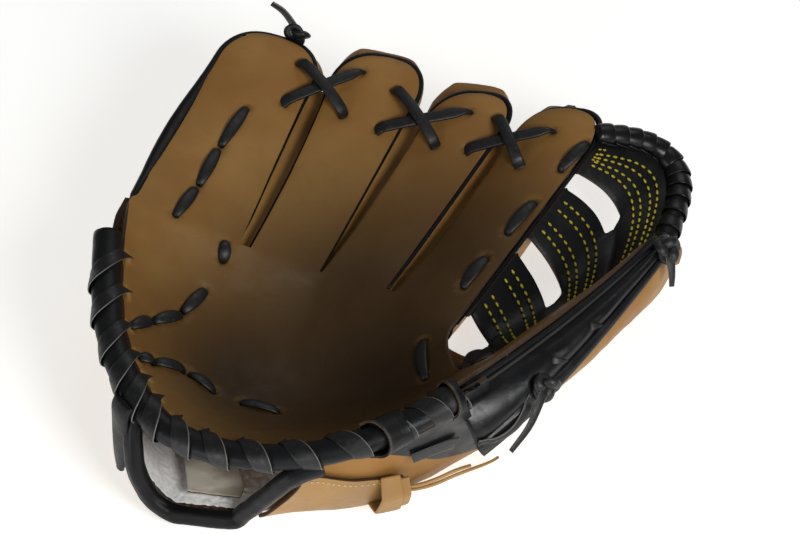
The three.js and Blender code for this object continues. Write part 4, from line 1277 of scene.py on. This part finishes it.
class GLOVE_OT_hand_back(bpy.types.Operator):
    """Back of the hand, and the padded wrist opening with its fleece and label"""

    bl_idname = "glove.hand_back"
    bl_label = "Back of the hand and wrist opening"

    def execute(self, context):
        bm = bmesh.new()
        skin(bm, 90, 60, lambda u, v: back(3 * u, 1 - v))
        wrinkle(bm, 0.5, 22, 31)
        for vert in bm.verts:
            vert.co.z = max(vert.co.z, 0)
        shell("hand_back_leather", bm, ["hand_back"])
        self.binding()
        self.fleece()
        self.label()
        return {"FINISHED"}

    def binding(self):
        count = 120
        turns = even(count, 0.12, 2.95)
        path = []
        for q in turns:
            along = (back(q + 0.02, 0) - back(q - 0.02, 0)).normalized()
            out = back(q, 0) - back(q, 0.04)
            out = (out - along * out.dot(along)).normalized()
            path.append(back(q, 0) + out * (BINDING / 2 + GAP))
        start, end = round_heel(0.35, 235, 1)[0], round_heel(0.7, 245, 1)[0]
        lead_in = [start.lerp(path[0], share) for share in even(12)[:-1]]
        lead_out = [path[-1].lerp(end, share) for share in even(12)[1:]]
        path = lead_in + path + lead_out
        for _ in range(26):
            inner = [(a + b) / 2 for a, b in zip(path, path[2:])]
            path = [path[0]] + inner + [path[-1]]
        count = len(path) - 1
        middle = back(1.5, 0.2)
        spots = framed(path, lambda i: middle - path[i])
        folds = 5

        def at(u, v):
            p, side, up = spots[round(v * count)]
            turn = -2 * math.pi * u
            reach = BINDING / 2 * (1 + 0.07 * abs(math.sin(turn * folds / 2)) - 0.04)
            return p + (side * math.cos(turn) + up * math.sin(turn)) * reach

        bm = bmesh.new()
        close(bm, skin(bm, 40, count, at))
        wrinkle(bm, 0.5, 14, 41)
        made = piece("wrist_binding_padded", bm, "black_cowhide", ["mouth_binding"])

    def fleece(self):
        deep = LEATHER + SEAT
        bm = bmesh.new()
        skin(bm, 130, 56, lambda u, v: off_back(0.25 + 2.5 * u, 0.42 * (1 - v), -deep))
        bm.normal_update()
        for vert in bm.verts:
            tuft = noise.fractal(vert.co / 4, 1.0, 2.0, 3)
            vert.co -= vert.normal * (0.2 + abs(tuft))
        bmesh.ops.reverse_faces(bm, faces=bm.faces)
        made = piece("wrist_fleece", bm, "sheepskin", ["lining"], LINING, round_edge=0)

    def label(self):
        deep = LEATHER + SEAT + LINING + GAP + 4

        def at(u, v):
            return off_back(0.98 + 0.17 * v + (0.41 + 0.29 * v) * u, 0.25 - 0.23 * v, -deep)

        bm = bmesh.new()
        skin(bm, 24, 20, at)
        wrinkle(bm, 0.8, 12, 51)
        bmesh.ops.reverse_faces(bm, faces=bm.faces)
        piece("blank_label", bm, "woven_label", ["label"], LABEL_THICK, round_edge=0)


# The strap's tails: from and to along the back, from and to round it, and the rise in mm.
WRIST_TAILS = [(0.475, 0.76, 2.36, 2.66, 8), (0.475, 0.66, 2.48, 2.68, 7)]
# The knot's folds: the place along the back, the width, from and to round it, and the height.
WRIST_FOLDS = [(0.385, 15, 2.45, 2.76, 7.5), (0.432, 9, 2.45, 2.7, 6.0)]


class GLOVE_OT_wrist(bpy.types.Operator):
    """Wrist strap with its folded knot and two tails, and the tab on the heel"""

    bl_idname = "glove.wrist"
    bl_label = "Wrist strap and tab"

    def execute(self, context):
        off = SEAT + STRAP_THICK

        def at(u, v):
            low, high = 2.4 - 0.25 * v, 2.7 + 0.23 * v
            return off_back(low + (high - low) * u, 0.45 - 0.42 * v, off + 1.2 * (1 - (2 * u - 1) ** 4))

        bm = bmesh.new()
        skin(bm, 30, 54, at)
        wrinkle(bm, 0.3, 16, 61)
        piece("wrist_strap_leather", bm, "tan_strap_leather", ["wrist_strap"], STRAP_THICK)
        bm = bmesh.new()
        path = [at(0.93, v / 60) + back_out(2.8, 0.2) * 0.1 for v in range(8, 56)]
        dashes(bm, path, lambda i: back_out(2.8, 0.2), 1.6, 3.2, 0.8)
        piece("wrist_strap_seam", bm, "cream_thread")
        self.knot(off + SEAT)
        steps = 30

        def width(i):
            return TAIL_WIDTH * (1.05 - 0.75 * (i / steps) ** 1.6)

        for k, (first, last, turn, turn_end, rise) in enumerate(WRIST_TAILS):
            spots = list(zip(even(steps, turn, turn_end), even(steps, first, last)))

            def lift(i, rise=rise):
                return GAP + rise * (i / steps) ** 0.6

            bm = bmesh.new()
            lay(bm, off_back, spots, lift, width, TAIL_THICK)
            tail = f"wrist_tail_{k + 1}"
            piece(f"{tail}_leather", bm, "tan_strap_leather", [tail])
        self.tab()
        return {"FINISHED"}

    def knot(self, off):
        """A strap end folded over itself: a broad flat fold with a narrower one tucked beside it."""
        bm = bmesh.new()
        steps = 36
        for at, wide, from_turn, to_turn, tall in WRIST_FOLDS:
            turns = even(steps, from_turn, to_turn)
            lift = [tall * min(1, 5 * k, 3.4 * (1 - k)) for k in even(steps)]
            path = [off_back(q, at + 0.012 * i / steps, off - 1 + lift[i]) for i, q in enumerate(turns)]
            ups = [back_out(q, at) for q in turns]
            strap(bm, path, lambda i: ups[i], lambda i: wide * (1 - 0.3 * i / steps), 2.2)
        piece("wrist_knot_leather", bm, "tan_strap_leather", ["wrist_knot"])

    def tab(self):
        spot = 0.337
        out = inward(spot)
        out.z = 0
        out = -out.normalized()
        steps = 30
        downs = even(steps, 0, 3.9)
        path = [
            rim(spot) + out * (ROLL_WIDTH / 2 + RIDGE + SEAT + 0.9 * down) * share_of(down, -0.9, 0.5)
            - UP * ROLL_HEIGHT * (down - 0.3)
            for down in downs
        ]

        def width(i):
            return TAB_WIDTH * (1.3 - 0.3 * i / steps) * max(1 - (i / steps) ** 7, 0.2) ** 0.5

        bm = bmesh.new()
        strap(bm, path, lambda i: out, width, LEATHER, 0.6)
        aside = out.cross(UP).normalized()
        tip = path[18] + out * 1.2
        points = [tip + aside * 4, tip - aside * 3 - UP * 1, tip - aside * 9 - UP * 6]
        strap(bm, along_curve(points, 14), lambda i: out, lambda i: 4.6 * (1.02 - i / 14), 1.2)
        piece("heel_tab_leather", bm, "black_cowhide", ["heel_tab"])


LITTLE_TIP = LITTLE.centre(1) + LITTLE.across(1) * (0.32 * LITTLE.tip_half.length)
# Each knot: the place and the way up there, how far it is lifted, and its loose end, as
# shares of LACE_KNOT from the knot's middle.
KNOTS = [
    ("thumb", pad(0.53, 0.3), pad(0.53, 0.3, 1) - pad(0.53, 0.3), 0.37,
     [(0.04, -0.42, -0.1), (0.1, -1.5, -0.7), (-0.1, -2.7, -1.2)]),
    ("thumb_tip", pad(0.7, 0.97), pad(0.7, 0.97, 1) - pad(0.7, 0.97), 0.36,
     [(0.3, -0.35, -0.3), (0.5, -0.6, -0.7), (0.62, -0.8, -1.1)]),
    ("little_tip", LITTLE_TIP, LITTLE.along(1), 0.37,
     [(-0.34, 0.2, 0.2), (-1, 0.4, 0.6), (-1.5, 0.3, 0.9)]),
]


class GLOVE_OT_laces(bpy.types.Operator):
    """Lace stitches, the laces between the fingertips, and the knots with their loose ends"""

    bl_idname = "glove.laces"
    bl_label = "Laces"

    def execute(self, context):
        for i, (first, second) in enumerate(PALM_STITCHES):
            self.stitch(f"palm_stitch_{i + 1}", palm, first, second)
        counts = {}
        for stall, first, second in FINGER_STITCHES:
            counts[stall.name] = counts.get(stall.name, 0) + 1
            self.stitch(f"{stall.name}_stitch_{counts[stall.name]}", stall.face, first, second)
        for i, row in enumerate(TIP_LACES):
            self.tip_lace(i, *row)
        for row in KNOTS:
            self.knot(*row)
        return {"FINISHED"}

    def stitch(self, name, surface, first, second):
        """A leaf-shaped run of lace between two holes."""
        steps = 22
        path, ups = [], []
        for i in range(steps + 1):
            k = i / steps
            u, v = (a + (b - a) * k for a, b in zip(first, second))
            along = surface(u + 0.01, v) - surface(u - 0.01, v)
            up = along.cross(surface(u, v + 0.01) - surface(u, v - 0.01)).normalized()
            up = -up if up.z < 0 else up
            rise = -2.4 + 3.5 * math.sin(math.pi * k) ** 0.4
            path.append(surface(u, v) + up * rise)
            ups.append(up)
        bm = bmesh.new()
        wide = mm("lace_width")
        leaf = [math.sin(math.pi * (0.06 + 0.88 * i / steps)) ** 0.55 for i in range(steps + 1)]
        strap(bm, path, lambda i: ups[i], lambda i: wide * (0.3 + 0.75 * leaf[i]), 1.5, 0.5, (0.3, 0.3))
        piece(f"{name}_lace", bm, "black_rawhide_lace", [name])

    def tip_lace(self, i, k, first, second, over):
        """A straight flat lace across the gap between two fingertips, through a hole at each end."""
        left, right = FINGERS[k], FINGERS[k + 1]
        start, end = left.face(*first), right.face(*second)
        rise = 1.2 + (mm("lace_thick") + 2 * SEAT if over else 0)
        steps = 44
        path, ups = [], []
        for j in range(steps + 1):
            t = -0.03 + 1.06 * j / steps
            up = left.normal(first[0]).lerp(right.normal(second[0]), clamp(t)).normalized()
            dip = 1 - share_of(min(t + 0.03, 1.03 - t), 0, 0.09)
            height = SEAT + rise * math.sin(math.pi * clamp(t)) ** 0.7 - 4 * dip
            path.append(start.lerp(end, t) + up * height)
            ups.append(up)

        def width(j):
            point = 0 if over else 0.65 * share_of(j / steps, 0.78, 1)
            return mm("lace_width") * (1 - point)

        bm = bmesh.new()
        strap(bm, path, lambda j: ups[j], width, mm("lace_thick"), 0.1, (0.3, 0.3))
        piece(f"tip_lace_{i + 1}_rawhide", bm, "black_rawhide_lace", [f"tip_lace_{i + 1}"])

    def knot(self, name, on, up, lift, end):
        """An overhand knot: a trefoil of lace drawn tight, and its loose end."""
        up = up.normalized()
        centre = on + up * (LACE_KNOT * lift + GAP)
        side = up.orthogonal().normalized()
        other = up.cross(side)
        steps, size = 96, LACE_KNOT / 2 / 3.7
        path = []
        for i in range(steps):
            a = 2 * math.pi * i / steps
            x, y, z = math.sin(a) + 2 * math.sin(2 * a), math.cos(a) - 2 * math.cos(2 * a), -math.sin(3 * a)
            path.append(centre + side * x * size + other * y * size + up * z * size * 1.1)
        bm = bmesh.new()
        tube(bm, path, lambda i: up, lambda i: (3.2, 1.8), 10)
        piece(f"{name}_knot_lace", bm, "black_rawhide_lace", [f"{name}_knot"])
        points = [centre] + [centre + Vector(p) * LACE_KNOT for p in end]
        count = 24
        wide = TAIL_WIDTH * (1.5 if name == "little_tip" else 1)

        def width(i):
            return wide * (1.15 - 0.6 * i / count)

        bm = bmesh.new()
        strap(bm, along_curve(points, count), lambda i: up, width, TAIL_THICK)
        if name == "thumb":
            self.second_lace(bm)
        piece(f"{name}_loose_end", bm, "black_rawhide_lace", [f"{name}_lace_end"])

    def second_lace(self, bm):
        """The lace that runs from the thumb's knot along the pad's lower edge."""
        count = 26
        spots = [(0.55 + 0.3 * math.sin(math.pi * k), 0.25 - 0.24 * k) for k in even(count)]
        lay(bm, pad, spots, lambda i: 0.8, lambda i: TAIL_WIDTH * (1.1 - 0.5 * i / count), TAIL_THICK)


LOOK_AT = Vector((0, 0, 50))
CAMERA_AZIMUTH, CAMERA_ELEVATION, CAMERA_DISTANCE = 30, 45, 1.5
FOCAL, PHOTO_WIDTH, SENSOR = 2745, 800, 36  # the first two in the photograph's pixels
# Each light: azimuth and elevation in degrees, distance and size in metres, and power in watts.
LIGHTS = [
    ("key", 60, 36, 1.3, 0.45, 9.5),
    ("fill", -10, 14, 1.2, 0.5, 3.2),
    ("top", 185, 48, 1.4, 0.7, 2),
]


class GLOVE_OT_stage(bpy.types.Operator):
    """Pale floor, soft studio light and the camera at the photograph's angle"""

    bl_idname = "glove.stage"
    bl_label = "Stage"

    def execute(self, context):
        bm = bmesh.new()
        bmesh.ops.create_grid(bm, x_segments=1, y_segments=1, size=3)
        mesh = bpy.data.meshes.new("floor")
        bm.to_mesh(mesh)
        bm.free()
        mesh.materials.append(finish("studio_paper"))
        floor = bpy.data.objects.new("floor", mesh)
        context.scene.collection.objects.link(floor)
        for name, azimuth, elevation, distance, size, power in LIGHTS:
            light = bpy.data.lights.new(name, "AREA")
            light.size, light.energy = size, power
            self.aim(name, light, azimuth, elevation, distance)
        world = bpy.data.worlds.new("studio")
        world.use_nodes = True
        world.node_tree.nodes["Background"].inputs[0].default_value = (1, 1, 1, 1)
        world.node_tree.nodes["Background"].inputs[1].default_value = 0.13
        context.scene.world = world
        camera = bpy.data.cameras.new("camera")
        camera.lens, camera.sensor_width = FOCAL / PHOTO_WIDTH * SENSOR, SENSOR
        camera.clip_start, camera.clip_end = 0.05, 20
        context.scene.camera = self.aim("camera", camera, CAMERA_AZIMUTH, CAMERA_ELEVATION, CAMERA_DISTANCE)
        context.scene.view_settings.view_transform = "Standard"
        return {"FINISHED"}

    def aim(self, name, data, azimuth, elevation, distance):
        """Puts a light or the camera round the glove, looking at its middle."""
        made = bpy.data.objects.new(name, data)
        bpy.context.scene.collection.objects.link(made)
        a, e = math.radians(azimuth), math.radians(elevation)
        away = Vector((math.sin(a) * math.cos(e), -math.cos(a) * math.cos(e), math.sin(e)))
        made.location = (SHIFT + LOOK_AT) * MM + away * distance
        made.rotation_mode = "QUATERNION"
        made.rotation_quaternion = away.to_track_quat("Z", "Y")
        return made


class GLOVE_PT_panel(bpy.types.Panel):
    """Lists the glove's pieces, sizes and colours"""

    bl_idname = "GLOVE_PT_panel"
    bl_label = "Baseball Glove"
    bl_space_type = "VIEW_3D"
    bl_region_type = "UI"
    bl_category = "Glove"

    def draw(self, context):
        for operator in OPERATORS:
            self.layout.operator(operator.bl_idname)
        for group in (context.scene.glove_sizes, context.scene.glove_colours):
            box = self.layout.box()
            for name in group.__annotations__:
                box.prop(group, name)


OPERATORS = [
    GLOVE_OT_stage, GLOVE_OT_palm, GLOVE_OT_stalls, GLOVE_OT_gussets, GLOVE_OT_welts, GLOVE_OT_side_band,
    GLOVE_OT_heel, GLOVE_OT_web, GLOVE_OT_thumb, GLOVE_OT_hand_back, GLOVE_OT_wrist, GLOVE_OT_laces,
]
CLASSES = [GLOVE_PG_colours, GLOVE_PG_sizes, *OPERATORS, GLOVE_PT_panel]


def register():
    for cls in CLASSES:
        bpy.utils.register_class(cls)
    bpy.types.Scene.glove_colours = bpy.props.PointerProperty(type=GLOVE_PG_colours)
    bpy.types.Scene.glove_sizes = bpy.props.PointerProperty(type=GLOVE_PG_sizes)


def unregister():
    del bpy.types.Scene.glove_sizes
    del bpy.types.Scene.glove_colours
    for cls in reversed(CLASSES):
        bpy.utils.unregister_class(cls)


def main():
    register()
    for operator in OPERATORS:
        group, name = operator.bl_idname.split(".")
        getattr(getattr(bpy.ops, group), name)()


if __name__ == "__main__":
    main()
